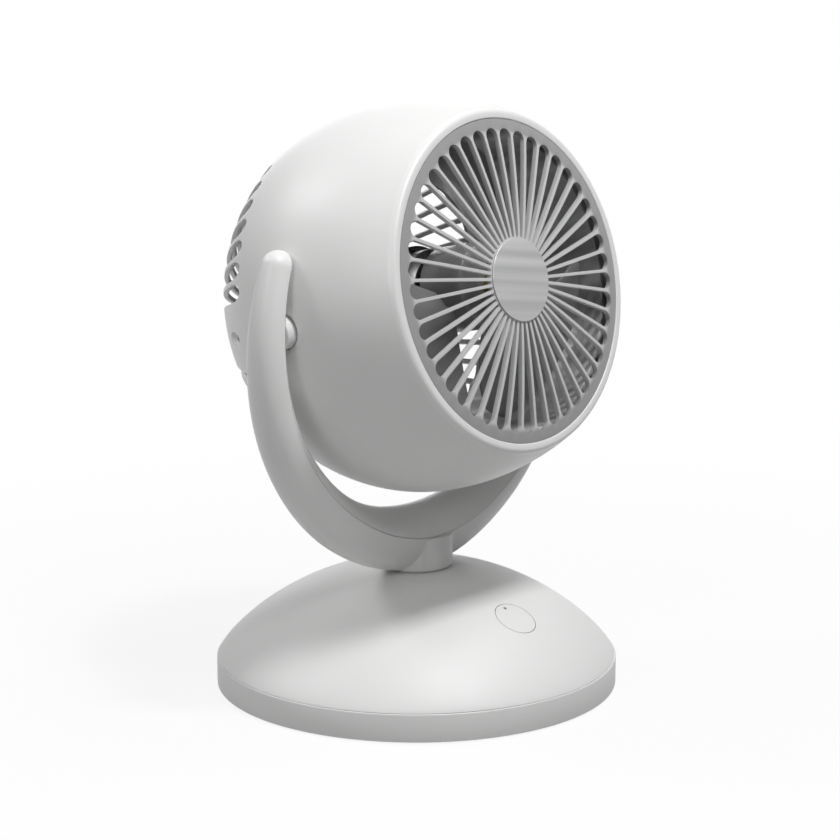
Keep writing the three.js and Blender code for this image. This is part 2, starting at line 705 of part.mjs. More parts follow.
// A body along the fork whose section is a list of [across, radius] pairs at each angle.
function alongTheFork(end, section) {
  return swept(forkAngles(end).map((angle) => {
    const turn = radians(angle);
    return section(angle).map(([across, radius]) => new THREE.Vector3(
      radius * Math.sin(turn), across, FORK_CENTRE_Z - radius * Math.cos(turn),
    ));
  }));
}

// Fractions from -1 to 1 across the section, closer together near its edges.
function acrossSection() {
  const count = FORK_SECTION_POINTS;
  return Array.from({ length: count }, (_, i) => -Math.cos((i / (count - 1)) * Math.PI));
}

// Outside of the fork, or its hollow where inset is the wall.
function outerBody(end, inset) {
  return alongTheFork(end, (angle) => {
    const round = tipRound(angle);
    const wide = Math.max((halfWidth(angle) - inset) * round, 0.2);
    const high = Math.max((outerCrown(angle) - inset) * round, 0.2);
    const bottom = edgeRadius(angle) - BEYOND;
    const crown = acrossSection().map((s) => [
      wide * s,
      edgeRadius(angle) + high * (1 - Math.abs(s) ** 2.4) ** 0.625,
    ]);
    const foot = inset ? [[wide, bottom], [-wide, bottom]] : [];
    return [...crown, ...foot];
  });
}

function coverBody(end, inset) {
  return alongTheFork(end, (angle) => {
    const round = tipRound(angle);
    const wide = (halfWidth(angle) - inset) * round;
    const top = edgeRadius(angle) - GAP + (inset ? BEYOND : 0);
    const rim = edgeRadius(angle) - GAP - (inset ? 0 : COVER_EDGE * round);
    const crown = Math.max(innerCrown(angle) - GAP - Math.max(COVER_EDGE, inset), 0.1);
    const belly = acrossSection().map((s) => [wide * s, rim - crown * round * (1 - s ** 2)]);
    return [[wide, top], ...belly.reverse(), [-wide, top]];
  });
}

function forkOuterShell() {
  const wellInside = NECK_TOP + 2 * WALL;
  const neck = cut(
    rod(NECK_RADIUS, NECK_BOTTOM, wellInside, 40),
    rod(edgeRadius(0), -2 * NECK_RADIUS, 2 * NECK_RADIUS, 120)
      .rotateX(Math.PI / 2)
      .translate(0, 0, FORK_CENTRE_Z),
  );
  const hollow = outerBody(FORK_ROUND_ANGLE - 3, WALL);
  const neckHollow = rod(NECK_RADIUS - WALL, NECK_BOTTOM + WALL, wellInside, 40);
  const below = rod(2 * NECK_RADIUS, NECK_BOTTOM - 2 * NECK_RADIUS, NECK_BOTTOM, 40);
  const stemHole = rod(STEM_RADIUS + GAP, 0, NECK_BOTTOM + 2 * WALL, 40);
  return cut(join(outerBody(FORK_TIP_ANGLE, 0), neck), hollow, neckHollow, below, stemHole);
}

function forkInnerCover() {
  const pinSeats = [-1, 1].flatMap((side) => [
    onTiltAxis(rod(PIN_SHANK_RADIUS + GAP, side * HEAD_RADIUS, side * 1.2 * HEAD_RADIUS, 20)),
    onTiltAxis(rod(PIN_RADIUS + GAP, side * HEAD_RADIUS, side * (PIN_OUTER_END + GAP), 24)),
  ]);
  const hollowEnd = FORK_TIP_ANGLE / 2;
  return cut(coverBody(FORK_TIP_ANGLE, 0), coverBody(hollowEnd, WALL), ...pinSeats);
}

// ---------- Tilt pins ----------
function onTiltAxis(geometry) {
  return alongX(geometry).translate(0, -TILT_AXIS_FORWARD, TILT_AXIS_Z);
}

// The pin's shoulder lies between the head and the arm, and its shank goes through both.
function tiltPin() {
  const innerEnd = PIN_PAD_FACE - FRICTION_RING_THICK - 1.5 * PIN_CLIP_THICK - 3 * GAP;
  const outerEnd = WASHER_INNER_FACE + PIN_WASHER_THICK + GAP;
  return turned([
    [0, innerEnd],
    [PIN_SHANK_RADIUS, innerEnd],
    [PIN_SHANK_RADIUS, PIN_PAD_FACE],
    [PIN_RADIUS, PIN_PAD_FACE],
    [PIN_RADIUS, PIN_OUTER_END],
    [PIN_SHANK_RADIUS, PIN_OUTER_END],
    [PIN_SHANK_RADIUS, outerEnd],
    [0, outerEnd],
  ], 24);
}

function pinWasher() {
  const from = WASHER_INNER_FACE;
  return tube(PIN_SHANK_RADIUS + GAP, PIN_WASHER_RADIUS, from, from + PIN_WASHER_THICK, 20);
}

function frictionRing() {
  const to = PIN_PAD_FACE - GAP;
  return tube(PIN_SHANK_RADIUS + GAP, FRICTION_RING_RADIUS, to - FRICTION_RING_THICK, to, 20);
}

function pinClip() {
  const to = PIN_PAD_FACE - FRICTION_RING_THICK - 2 * GAP;
  return tube(PIN_SHANK_RADIUS + GAP, PIN_RADIUS, to - PIN_CLIP_THICK, to, 20);
}

// ---------- Head, about the fan's own axis: +Z comes out of the face, +Y is up ----------
function headRadius(behindFace) {
  const before = behindFace < FACE_TO_WIDEST;
  const length = before ? NOSE_LENGTH : TAIL_LENGTH;
  const power = before ? NOSE_POWER : TAIL_POWER;
  const share = Math.abs(behindFace - FACE_TO_WIDEST) / length;
  return HEAD_RADIUS * Math.max(1 - share ** power, 0) ** (1 / power);
}

// Points of the head's outside from one depth behind the face to a deeper one.
function headCurve(from, to, steps) {
  const points = [];
  for (let i = 0; i <= steps; i++) {
    const behind = from + ((to - from) * i) / steps;
    points.push([headRadius(behind), -behind]);
  }
  return points;
}

function onPinLine(geometry) {
  return alongX(geometry).translate(0, PIN_HEIGHT_IN_HEAD, PIN_DEPTH_IN_HEAD);
}

// Bosses at one radius, each with a thin wall that carries it from the shell.
function bossesWithWebs(from, to, radius, angles) {
  const wide = HEAD_RADIUS - radius;
  const webs = angles.map((angle) => block(
    wide, WEB_THICK, to - from, radius + wide / 2, 0, (from + to) / 2,
  ).rotateZ(radians(angle)));
  return [...aroundZ(() => rod(BOSS_RADIUS, from, to, 12), radius, angles), ...webs];
}

function frontShell() {
  const outer = headCurve(BEZEL_DEPTH + GAP, SEAM_BEHIND_FACE, 7).reverse();
  const inner = everySecond(offset(outer, WALL)).reverse();
  const flatEnds = ([r, z], i, curve) => {
    if (i === 0) return [r, -BEZEL_DEPTH - GAP];
    return i === curve.length - 1 ? [r, SEAM] : [r, z];
  };
  const shell = turned([...outer, ...inner.map(flatEnds)]);
  const middle = offset(outer, WALL / 2).reverse().map(flatEnds).reverse();
  const core = turned([[0, SEAM], ...middle, [0, -BEZEL_DEPTH]]);

  const pads = [-1, 1].map((side) => onPinLine(
    rod(PIN_PAD_RADIUS, side * PIN_PAD_FACE, side * HEAD_RADIUS, 28),
  ));
  const bracketBosses = bossesWithWebs(
    BRACKET_FRONT + GAP, BRACKET_FRONT + BRACKET_BOSS_LENGTH,
    BRACKET_SCREWS_RADIUS, BRACKET_ANGLES,
  );
  const shellBosses = bossesWithWebs(
    SEAM, SEAM + SHELL_BOSS_LENGTH, SHELL_SCREWS_RADIUS, SHELL_SCREW_ANGLES,
  );
  const inside = common(join(...pads, ...bracketBosses, ...shellBosses), core);

  const pilot = (from, depth) => () => rod(SCREW_RADIUS + GAP, from - BEYOND, from + depth, 12);
  const bracketPilot = pilot(BRACKET_FRONT, BRACKET_PILOT_DEPTH);
  const shellPilot = pilot(SEAM, SHELL_PILOT_DEPTH);
  const outside = HEAD_RADIUS + BEYOND;
  const pinHoles = [-1, 1].flatMap((side) => [
    onPinLine(rod(PIN_RADIUS + PIN_CLEARANCE, side * (PIN_PAD_FACE - BEYOND), side * outside, 28)),
    onPinLine(rod(PIN_RECESS_RADIUS, side * (HEAD_RADIUS - PIN_RECESS_DEPTH), side * outside, 32)),
  ]);
  return cut(
    join(shell, inside),
    ...aroundZ(bracketPilot, BRACKET_SCREWS_RADIUS, BRACKET_ANGLES),
    ...aroundZ(shellPilot, SHELL_SCREWS_RADIUS, SHELL_SCREW_ANGLES),
    ...pinHoles,
  );
}

function bezelRing() {
  const outerFront = headRadius(0);
  const outerBack = headRadius(BEZEL_DEPTH);
  const inner = GRILLE_RADIUS + GAP;
  return turned([
    [inner, -BEZEL_DEPTH],
    [outerBack, -BEZEL_DEPTH],
    [outerFront, -BEZEL_ROUND],
    [outerFront - BEZEL_ROUND, 0],
    [inner + BEZEL_ROUND, 0],
    [inner, -BEZEL_ROUND],
  ]);
}

// How far the grille stands out at a radius, above its rim.
function grilleRise(radius) {
  const inside = Math.max(radius, GRILLE_FLAT_RADIUS);
  const share = (inside - GRILLE_FLAT_RADIUS) / (GRILLE_RADIUS - GRILLE_FLAT_RADIUS);
  return GRILLE_DOME * Math.max(1 - share ** GRILLE_DOME_POWER, 0);
}

// One slot of a ring of slots: straight sides along two spokes and a round outer end.
function slotPath(middle, pitch, inner, outer, rib, corners) {
  const half = radians(pitch / 2);
  const side = (radius) => Math.asin(rib / 2 / radius);
  const endRadius = (outer * Math.sin(half) - rib / 2) / (1 + Math.sin(half));
  const endCentre = new THREE.Vector2(outer - endRadius, 0);
  const points = [polar(inner, -half + side(inner))];
  for (let i = 0; i <= corners; i++) {
    const turn = (-Math.PI / 2 - half) + ((Math.PI + 2 * half) * i) / corners;
    points.push(polar(endRadius, turn).add(endCentre));
  }
  points.push(polar(inner, half - side(inner)));
  const origin = new THREE.Vector2();
  return new THREE.Path(points.map((point) => point.rotateAround(origin, middle)));
}

function frontGrille() {
  const face = new THREE.Shape();
  face.absarc(0, 0, GRILLE_RADIUS, 0, 2 * Math.PI);
  const pitch = 360 / GRILLE_SLOTS;
  for (let i = 0; i < GRILLE_SLOTS; i++) {
    const middle = radians(90 + GRILLE_TURN + pitch * (i + 0.5));
    face.holes.push(slotPath(middle, pitch, SLOT_INNER, SLOT_OUTER, SPOKE_WIDTH, 4));
  }
  const plate = new THREE.ExtrudeGeometry(face, {
    depth: GRILLE_THICK, bevelEnabled: false, curveSegments: 24,
  });
  const place = plate.getAttribute('position');
  for (let i = 0; i < place.count; i++) {
    const rise = grilleRise(Math.hypot(place.getX(i), place.getY(i)));
    place.setZ(i, place.getZ(i) - GRILLE_THICK - GRILLE_SUNK + rise);
  }
  return plate;
}

function hubPlate() {
  const from = HUB_FRONT + GAP;
  return turned([
    [0, from],
    [HUB_PLATE_RADIUS, from],
    [HUB_PLATE_RADIUS, from + HUB_PLATE_THICK / 2],
    [HUB_PLATE_RADIUS - HUB_PLATE_THICK / 2, from + HUB_PLATE_THICK],
    [0, from + HUB_PLATE_THICK],
  ], 36);
}

// A long liner with a flange in front. The bracket's arms pass through notches in its back edge.
function airDuct() {
  const flangeOuter = headRadius(DUCT_FRONT) - WALL - 3 * GAP;
  const duct = turned([
    [DUCT_RADIUS, DUCT_BACK],
    [DUCT_RADIUS + DUCT_WALL, DUCT_BACK],
    [DUCT_RADIUS + DUCT_WALL, -DUCT_FRONT - DUCT_WALL],
    [flangeOuter, -DUCT_FRONT - DUCT_WALL],
    [flangeOuter, -DUCT_FRONT],
    [DUCT_RADIUS, -DUCT_FRONT],
  ]);
  const [from, to] = [DUCT_BACK - BEYOND, BRACKET_FRONT + DUCT_NOTCH_SIDE];
  const notches = BRACKET_ANGLES.map((angle) => block(
    4 * DUCT_WALL, BRACKET_ARM_WIDTH + 2 * DUCT_NOTCH_SIDE, to - from,
    DUCT_RADIUS, 0, (from + to) / 2,
  ).rotateZ(radians(angle)));
  return cut(duct, ...notches);
}

function rearShell() {
  const seam = SEAM_BEHIND_FACE + GAP;
  const tail = FACE_TO_WIDEST + TAIL_LENGTH;
  const outer = [[0, -tail]];
  const steps = 6;
  const start = Math.asin((seam - FACE_TO_WIDEST) / TAIL_LENGTH);
  for (let i = steps - 1; i >= 0; i--) {
    const turn = start + ((Math.PI / 2 - start) * i) / steps;
    const behind = FACE_TO_WIDEST + TAIL_LENGTH * Math.sin(turn);
    outer.push([headRadius(behind), -behind]);
  }
  const inner = everySecond(offset(outer, WALL)).reverse();
  inner[0] = [inner[0][0], -seam];
  inner[inner.length - 1] = [0, -tail + WALL];
  const shell = turned([...outer, ...inner]);
  const core = turned([...offset(outer, WALL / 2).map(([r, z], i) => [i ? r : 0, z]), [0, -seam]]);
  const bosses = [
    ...bossesWithWebs(-seam - REAR_WEB_LENGTH, -seam, SHELL_SCREWS_RADIUS, SHELL_SCREW_ANGLES),
    ...aroundZ(() => rod(BOSS_RADIUS, -tail, -seam, 12), SHELL_SCREWS_RADIUS, SHELL_SCREW_ANGLES),
  ];
  const hole = () => rod(SCREW_RADIUS + SCREW_CLEARANCE, -tail, 0, 12);
  const sink = () => rod(SCREW_HEAD_RADIUS + SCREW_CLEARANCE, -tail, SHELL_SCREW_SEAT, 16);
  return cut(
    join(shell, common(join(...bosses), core)),
    ...ventCutters(tail),
    ...aroundZ(hole, SHELL_SCREWS_RADIUS, SHELL_SCREW_ANGLES),
    ...aroundZ(sink, SHELL_SCREWS_RADIUS, SHELL_SCREW_ANGLES),
  );
}

// Prisms that cut the radial vents: a wide group over the top and one under the bottom.
function ventCutters(tail) {
  const cutters = [];
  const groups = [[VENTS_ABOVE, 90], [VENTS_BELOW, 270]];
  for (const [count, centre] of groups) {
    for (let i = 0; i < count; i++) {
      const middle = radians(centre + VENT_PITCH * (i - (count - 1) / 2));
      const shape = new THREE.Shape(
        slotPath(middle, VENT_PITCH, VENT_INNER, VENT_OUTER, VENT_RIB, 2).getPoints(),
      );
      cutters.push(new THREE.ExtrudeGeometry(shape, {
        depth: tail - FACE_TO_WIDEST, bevelEnabled: false,
      }).translate(0, 0, -tail - BEYOND));
    }
  }
  return cutters;
}

// ---------- Motor and impeller ----------
function motorBracket() {
  const cupInner = MOTOR_RADIUS + GAP;
  const cupOuter = cupInner + WALL;
  const cup = tube(cupInner, cupOuter, BRACKET_BACK, MOTOR_BACK + MOTOR_LENGTH / 2, 28);
  const disc = rod(cupOuter, BRACKET_BACK, BRACKET_FRONT, 28);
  const reach = BRACKET_SCREWS_RADIUS - MOTOR_RADIUS;
  const arms = BRACKET_ANGLES.map((angle) => block(
    reach, BRACKET_ARM_WIDTH, BRACKET_THICK,
    MOTOR_RADIUS + reach / 2, 0, (BRACKET_BACK + BRACKET_FRONT) / 2,
  ).rotateZ(radians(angle)));
  const pad = () => rod(BRACKET_ARM_WIDTH / 2, BRACKET_BACK, BRACKET_FRONT, 12);
  const hole = () => rod(
    SCREW_RADIUS + SCREW_CLEARANCE, BRACKET_BACK - BEYOND, BRACKET_FRONT + BEYOND, 10,
  );
  return cut(
    join(disc, cup, ...arms, ...aroundZ(pad, BRACKET_SCREWS_RADIUS, BRACKET_ANGLES)),
    ...aroundZ(hole, BRACKET_SCREWS_RADIUS, BRACKET_ANGLES),
  );
}

function fanMotor() {
  const body = turned([
    [0, MOTOR_BACK],
    [MOTOR_RADIUS, MOTOR_BACK],
    [MOTOR_RADIUS, MOTOR_FRONT - MOTOR_BEVEL],
    [MOTOR_RADIUS - MOTOR_BEVEL, MOTOR_FRONT],
    [0, MOTOR_FRONT],
  ], 28);
  return cut(body, rod(SHAFT_RADIUS + GAP, MOTOR_FRONT - SHAFT_SEAT, MOTOR_FRONT + BEYOND, 20));
}

function motorShaft() {
  const end = NUT_BACK + NUT_LENGTH - NUT_WALL - GAP;
  return rod(SHAFT_RADIUS, MOTOR_FRONT - SHAFT_SEAT + GAP, end, 20);
}

function impellerNut() {
  const front = NUT_BACK + NUT_LENGTH;
  const body = turned([
    [0, NUT_BACK],
    [NUT_RADIUS, NUT_BACK],
    [NUT_RADIUS, front - NUT_BEVEL],
    [NUT_RADIUS - NUT_BEVEL, front],
    [0, front],
  ], 6);
  return cut(body, rod(SHAFT_RADIUS + GAP, NUT_BACK - BEYOND, front - NUT_WALL, 20));
}

function blade() {
  const across = 7;
  const stations = 6;
  const root = IMPELLER_HUB_RADIUS - IMPELLER_HUB_WALL / 2;
  const middle = -IMPELLER_FRONT - IMPELLER_HUB_LENGTH / 2;
  const lerp = THREE.MathUtils.lerp;
  const rings = [];
  for (let k = 0; k < stations; k++) {
    const share = k / (stations - 1);
    const radius = lerp(root, IMPELLER_RADIUS, share);
    const chord = lerp(BLADE_ROOT_CHORD, BLADE_TIP_CHORD, share);
    const pitch = radians(lerp(BLADE_ROOT_PITCH, BLADE_TIP_PITCH, share));
    const swing = radians(BLADE_SWEEP) * share ** 2;
    const at = (s, side) => {
      const turn = swing + (s * (chord / 2) * Math.cos(pitch)) / radius;
      const lift = s * (chord / 2) * Math.sin(pitch) + BLADE_CAMBER * share * (1 - s ** 2);
      return new THREE.Vector3(
        radius * Math.cos(turn), radius * Math.sin(turn), middle + lift + (side * BLADE_THICK) / 2,
      );
    };
    const steps = Array.from({ length: across }, (_, i) => (i / (across - 1)) * 2 - 1);
    rings.push([...steps.map((s) => at(s, -1)), ...steps.reverse().map((s) => at(s, 1))]);
  }
  return swept(rings);
}

function impeller() {
  const front = -IMPELLER_FRONT;
  const inner = IMPELLER_HUB_RADIUS - IMPELLER_HUB_WALL;
  const bossRadius = SHAFT_RADIUS + GAP + IMPELLER_HUB_WALL;
  const ceiling = front - IMPELLER_HUB_WALL;
  const hub = turned([
    [SHAFT_RADIUS + GAP, front],
    [SHAFT_RADIUS + GAP, IMPELLER_BACK],
    [bossRadius, IMPELLER_BACK],
    [bossRadius, ceiling],
    [inner, ceiling - 0.75 * IMPELLER_HUB_ROUND],
    [inner, IMPELLER_BACK],
    [IMPELLER_HUB_RADIUS, IMPELLER_BACK],
    [IMPELLER_HUB_RADIUS, front - IMPELLER_HUB_ROUND],
    [IMPELLER_HUB_RADIUS - IMPELLER_HUB_ROUND, front],
  ], 30);
  const blades = [];
  for (let i = 0; i < BLADES; i++) {
    blades.push(blade().rotateZ(radians(BLADE_START + (360 / BLADES) * i)));
  }
  return join(hub, ...blades);
}

// ---------- Assembly ----------
function mesh(name, geometry, surface) {
  const made = new THREE.Mesh(geometry.index ? geometry.toNonIndexed() : geometry, surface);
  made.geometry.computeVertexNormals();
  made.name = name;
  return made;
}

// Numbered copies of a piece on a circle of one radius and height.
function addRing(group, name, make, surface, radius, z, angles) {
  angles.forEach((angle, i) => {
    const piece = mesh(`${name}_${i + 1}`, make(), surface);
    const turn = radians(angle);
    piece.position.set(radius * Math.cos(turn), radius * Math.sin(turn), z);
    group.add(piece);
  });
}

function addScrews(group, name, length, radius, z, angles) {
  addRing(group, name, () => screw(length), STEEL, radius, z, angles);
}

const fan = new THREE.Group();

const base = new THREE.Group();
base.add(mesh('base_pan', basePan(), WHITE_PLASTIC));
base.add(mesh('base_dome', baseDome(), WHITE_PLASTIC));
base.add(mesh('ballast_plate', ballastPlate(), STEEL));
base.add(mesh('power_inlet', powerInlet(), DARK_PLASTIC));
addRing(base, 'foot', foot, RUBBER, FEET_RADIUS, 0, FEET_ANGLES);
addScrews(
  base, 'base_screw', BASE_SCREW_LENGTH,
  BASE_SCREWS_RADIUS, SCREW_HEAD_TOP, BASE_SCREW_ANGLES,
);
base.add(mesh('swivel_frame', swivelFrame(), DARK_PLASTIC));
addScrews(
  base, 'frame_screw', FRAME_THICK + FRAME_SCREW_BITE,
  FRAME_POSTS_RADIUS, FRAME_BOTTOM - GAP, FRAME_POST_ANGLES,
);
base.add(mesh('thrust_washer', thrustWasher(), SLIPPERY_PLASTIC));
const driveMotorMesh = mesh('swivel_motor', driveMotor(), STEEL);
const pinionMesh = mesh('drive_pinion', drivePinion(), BRASS);
driveMotorMesh.position.y = DRIVE_FROM_AXIS;
pinionMesh.position.y = DRIVE_FROM_AXIS;
base.add(driveMotorMesh, pinionMesh);
fan.add(base);

const button = new THREE.Group();
button.position.set(0, -BUTTON_FROM_AXIS, domeHeight(BUTTON_FROM_AXIS));
button.rotation.x = BUTTON_SLOPE;
button.add(mesh('power_button', powerButton(), WHITE_PLASTIC));
button.add(mesh('indicator_lens', indicatorLens(), CLEAR_LENS));
button.add(mesh('control_board', controlBoard(), BOARD_GREEN));
button.add(mesh('tact_switch', tactSwitch(), DARK_PLASTIC));
fan.add(button);

const fork = new THREE.Group();
fork.add(mesh('fork_outer_shell', forkOuterShell(), WHITE_PLASTIC));
fork.add(mesh('fork_inner_cover', forkInnerCover(), WHITE_PLASTIC));
fork.add(mesh('swivel_stem', swivelStem(), SLIPPERY_PLASTIC));
fork.add(mesh('swivel_gear', swivelGear(), SLIPPERY_PLASTIC));
fork.add(mesh('stem_clip', stemClip(), STEEL));
for (const [side, name] of [[-1, 'left'], [1, 'right']]) {
  const pins = new THREE.Group();
  pins.position.set(0, -TILT_AXIS_FORWARD, TILT_AXIS_Z);
  pins.rotation.y = (side * Math.PI) / 2;
  pins.add(mesh(`tilt_pin_${name}`, tiltPin(), WHITE_PLASTIC));
  pins.add(mesh(`pin_washer_${name}`, pinWasher(), STEEL));
  pins.add(mesh(`friction_ring_${name}`, frictionRing(), RUBBER));
  pins.add(mesh(`pin_clip_${name}`, pinClip(), STEEL));
  fork.add(pins);
}
fan.add(fork);

const head = new THREE.Group();
head.position.set(0, -TILT_AXIS_FORWARD, TILT_AXIS_Z);
head.rotation.x = -radians(REST_TILT);
const face = new THREE.Group();
face.position.set(0, -FACE_AHEAD, FAN_ABOVE_TILT_AXIS);
face.rotation.x = Math.PI / 2;
face.add(mesh('front_shell', frontShell(), WHITE_PLASTIC));
face.add(mesh('bezel_ring', bezelRing(), WHITE_PLASTIC));
face.add(mesh('front_grille', frontGrille(), GRILLE_PLASTIC));
face.add(mesh('hub_plate', hubPlate(), BRUSHED_METAL));
face.add(mesh('air_duct', airDuct(), DARK_PLASTIC));
face.add(mesh('rear_shell', rearShell(), WHITE_PLASTIC));
addScrews(
  face, 'shell_screw', SHELL_SCREW_LENGTH,
  SHELL_SCREWS_RADIUS, SHELL_SCREW_SEAT - GAP, SHELL_SCREW_ANGLES,
);
face.add(mesh('motor_bracket', motorBracket(), DARK_PLASTIC));
addScrews(
  face, 'bracket_screw', BRACKET_THICK + BRACKET_SCREW_BITE,
  BRACKET_SCREWS_RADIUS, BRACKET_BACK - GAP, BRACKET_ANGLES,
);
face.add(mesh('fan_motor', fanMotor(), STEEL));
face.add(mesh('motor_shaft', motorShaft(), STEEL));
face.add(mesh('impeller', impeller(), BLADE_PLASTIC));
face.add(mesh('impeller_nut', impellerNut(), BRASS));
head.add(face);
fan.add(head);

export default fan;
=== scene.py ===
"""An air circulator fan. A round head tilts in a fork, and the fork turns on a domed base."""

import math

import bpy
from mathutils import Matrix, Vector


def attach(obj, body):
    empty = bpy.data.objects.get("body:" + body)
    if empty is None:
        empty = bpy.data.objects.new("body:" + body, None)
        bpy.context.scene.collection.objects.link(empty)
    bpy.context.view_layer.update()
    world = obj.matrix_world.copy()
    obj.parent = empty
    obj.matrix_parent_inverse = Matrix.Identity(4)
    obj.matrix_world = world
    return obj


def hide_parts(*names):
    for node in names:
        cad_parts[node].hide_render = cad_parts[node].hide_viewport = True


MM = 0.001

# ---------- Sizes, in millimetres ----------
BASE_RADIUS = 100
BAND_BOTTOM = 0.8
BAND_TOP = 14.6
BAND_SEAM = 0.3  # between the band and the dome
FLOOR_WALL = 2.4
DOME_RIM_RADIUS = 99.4
DOME_RISE = 46.3
DOME_FULLNESS = 2.07
DOME_SHOULDER = 0.826
LAND_RADIUS = 19
STEM_HOLE = 13.3
FEET_RADIUS = 84
FOOT_RADIUS = 9
FOOT_RECESS_TOP = 2
BASE_SCREWS_RADIUS = 80
BASE_SCREW_ANGLES = (20, 160, 200, 340)
BASE_SCREW_LENGTH = 14
BASE_SCREW_SEAT = 2
CORNER_ANGLES = (45, 135, 225, 315)
SCREW_RADIUS = 1.4
SCREW_HEAD_RADIUS = 3.2
SCREW_HEAD_HEIGHT = 1.2
SCREW_HOLE_RADIUS = 1.75
SCREW_SINK_RADIUS = 3.55
INLET_SIZE = (9, 14, 9.4)
INLET_MOUTH = 99.2
INLET_MIDDLE_Z = 8.2
INLET_BORE = 3.2

BUTTON_FROM_AXIS = 64.4
BUTTON_RADIUS = 10.4
BUTTON_GROOVE = 0.32
BUTTON_STEM_RADIUS = 1.5
LIGHT_RADIUS = 0.8
LIGHT_FROM_CENTRE = 7.6

FORK_CENTRE_Z = 190.8
FORK_TIP_ANGLE = 112.6
FORK_ROUND_ANGLE = 108.4
FORK_EDGE_RADIUS = (113.6, 111, 108.3, 103.7, 100.6)
FORK_HALF_WIDTH = (15.5, 15, 13.2, 11.1, 7.6)
FORK_INNER_CROWN = (13.5, 9.4, 8.2, 3, 1.4)
FORK_OUTER_CROWN = (18.4, 16.3, 11.9, 9.7, 9)
FORK_COLUMNS = 220
FORK_ROWS = 44
TIP_COLUMNS = 18
CROWN_SIDE = 0.75  # share of the rows that cross a crown, the rest cross its flat side
COVER_EDGE = 0.9
NECK_RADIUS = 18
NECK_BORE = 14.2
NECK_TOP = 76.6
NECK_ABOVE_LAND = 1.3

TILT_AXIS_Y = -2
TILT_AXIS_Z = 191.8
REST_TILT = 13.2
FACE_AHEAD = 61.8
FAN_ABOVE_TILT_AXIS = 4.7
HEAD_RADIUS = 96.5
FACE_TO_WIDEST = 60.6
NOSE_LENGTH = 118.8
NOSE_POWER = 1.906
TAIL_LENGTH = 96.3
TAIL_POWER = 1.946
SEAM_BEHIND_FACE = 88
HALF_SEAM = 0.03
BEZEL_DEPTH = 3
SHELL_WALL = 2.4

GRILLE_RADIUS = 77.3
GRILLE_SLOTS = 45
GRILLE_TURN = 2.4
SLOT_OUTER = 72.75
SLOT_INNER = 20.4
SPOKE_WIDTH = 1.5
GRILLE_THICK = 2.6
GRILLE_SUNK = 0.3
GRILLE_DOME = 4.65
GRILLE_DOME_POWER = 1.5
GRILLE_FLAT_RADIUS = 20.2
HUB_PLATE_RADIUS = 20
HUB_PLATE_THICK = 0.8

VENT_PITCH = 7.2
VENT_OUTER = 90.3
VENT_INNER = 36
VENT_RIB = 2.4
VENT_GROUPS = ((23, 90), (21, 270))
SHELL_SCREWS_RADIUS = 83.5
SHELL_SCREW_ANGLES = (-3.6, 183.6)
SHELL_SCREW_SEAT = -91.3

PIN_RADIUS = 8
PIN_FROM = 86.1
PIN_TO = 100.4
PIN_SHAFT_RADIUS = 3.4
PIN_SHAFT_IN_HEAD = 7
PIN_SHAFT_IN_FORK = 6
PIN_DISH_RADIUS = 10.2
PIN_DISH_DEPTH = 1.6

DUCT_RADIUS = 73
DUCT_WALL = 1.6
DUCT_FRONT = -6
DUCT_BACK = -84
DUCT_NOTCH_WIDTH = 12
DUCT_FLUTES = 40
DUCT_FLUTE_DEPTH = 1.1
IMPELLER_FRONT = -15
IMPELLER_BACK = -41
IMPELLER_HUB_RADIUS = 21
IMPELLER_RADIUS = 70
BLADES = 3
BLADE_ROOT_RADIUS = 20
BLADE_START = 194
BLADE_CHORD = (12, 106)
BLADE_PITCH = (36, 14)
BLADE_SWEEP = 11
BLADE_CAMBER = 3
BLADE_THICK = 1.5
MOTOR_FRONT = -47
MOTOR_BACK = -71
MOTOR_RADIUS = 21
SHAFT_RADIUS = 2.8
BRACKET_RADIUS = 23.7
BRACKET_THICK = 3
ARM_WIDTH = 9
BRACKET_SCREWS_RADIUS = 87
BRACKET_ANGLES = (78, 102, 258, 282)


def face_middle():
    """Where the fan's axis meets the plane of the bezel's face, with the head at rest."""
    tilt = math.radians(REST_TILT)
    return (
        0,
        TILT_AXIS_Y - FACE_AHEAD * math.cos(tilt) + FAN_ABOVE_TILT_AXIS * math.sin(tilt),
        TILT_AXIS_Z + FACE_AHEAD * math.sin(tilt) + FAN_ABOVE_TILT_AXIS * math.cos(tilt),
    )


FACE_MIDDLE = face_middle()


# ---------- Shader maths ----------
class Socket:
    """A node's output that takes part in Python arithmetic."""

    def __init__(self, nodes, output):
        self.nodes = nodes
        self.output = output

    def maths(self, operation, *values):
        return self.nodes.node("ShaderNodeMath", {"operation": operation}, dict(enumerate(values)))

    def __add__(self, other):
        return self.maths("ADD", self, other)

    def __radd__(self, other):
        return self.maths("ADD", other, self)

    def __sub__(self, other):
        return self.maths("SUBTRACT", self, other)

    def __rsub__(self, other):
        return self.maths("SUBTRACT", other, self)

    def __mul__(self, other):
        return self.maths("MULTIPLY", self, other)

    def __rmul__(self, other):
        return self.maths("MULTIPLY", other, self)


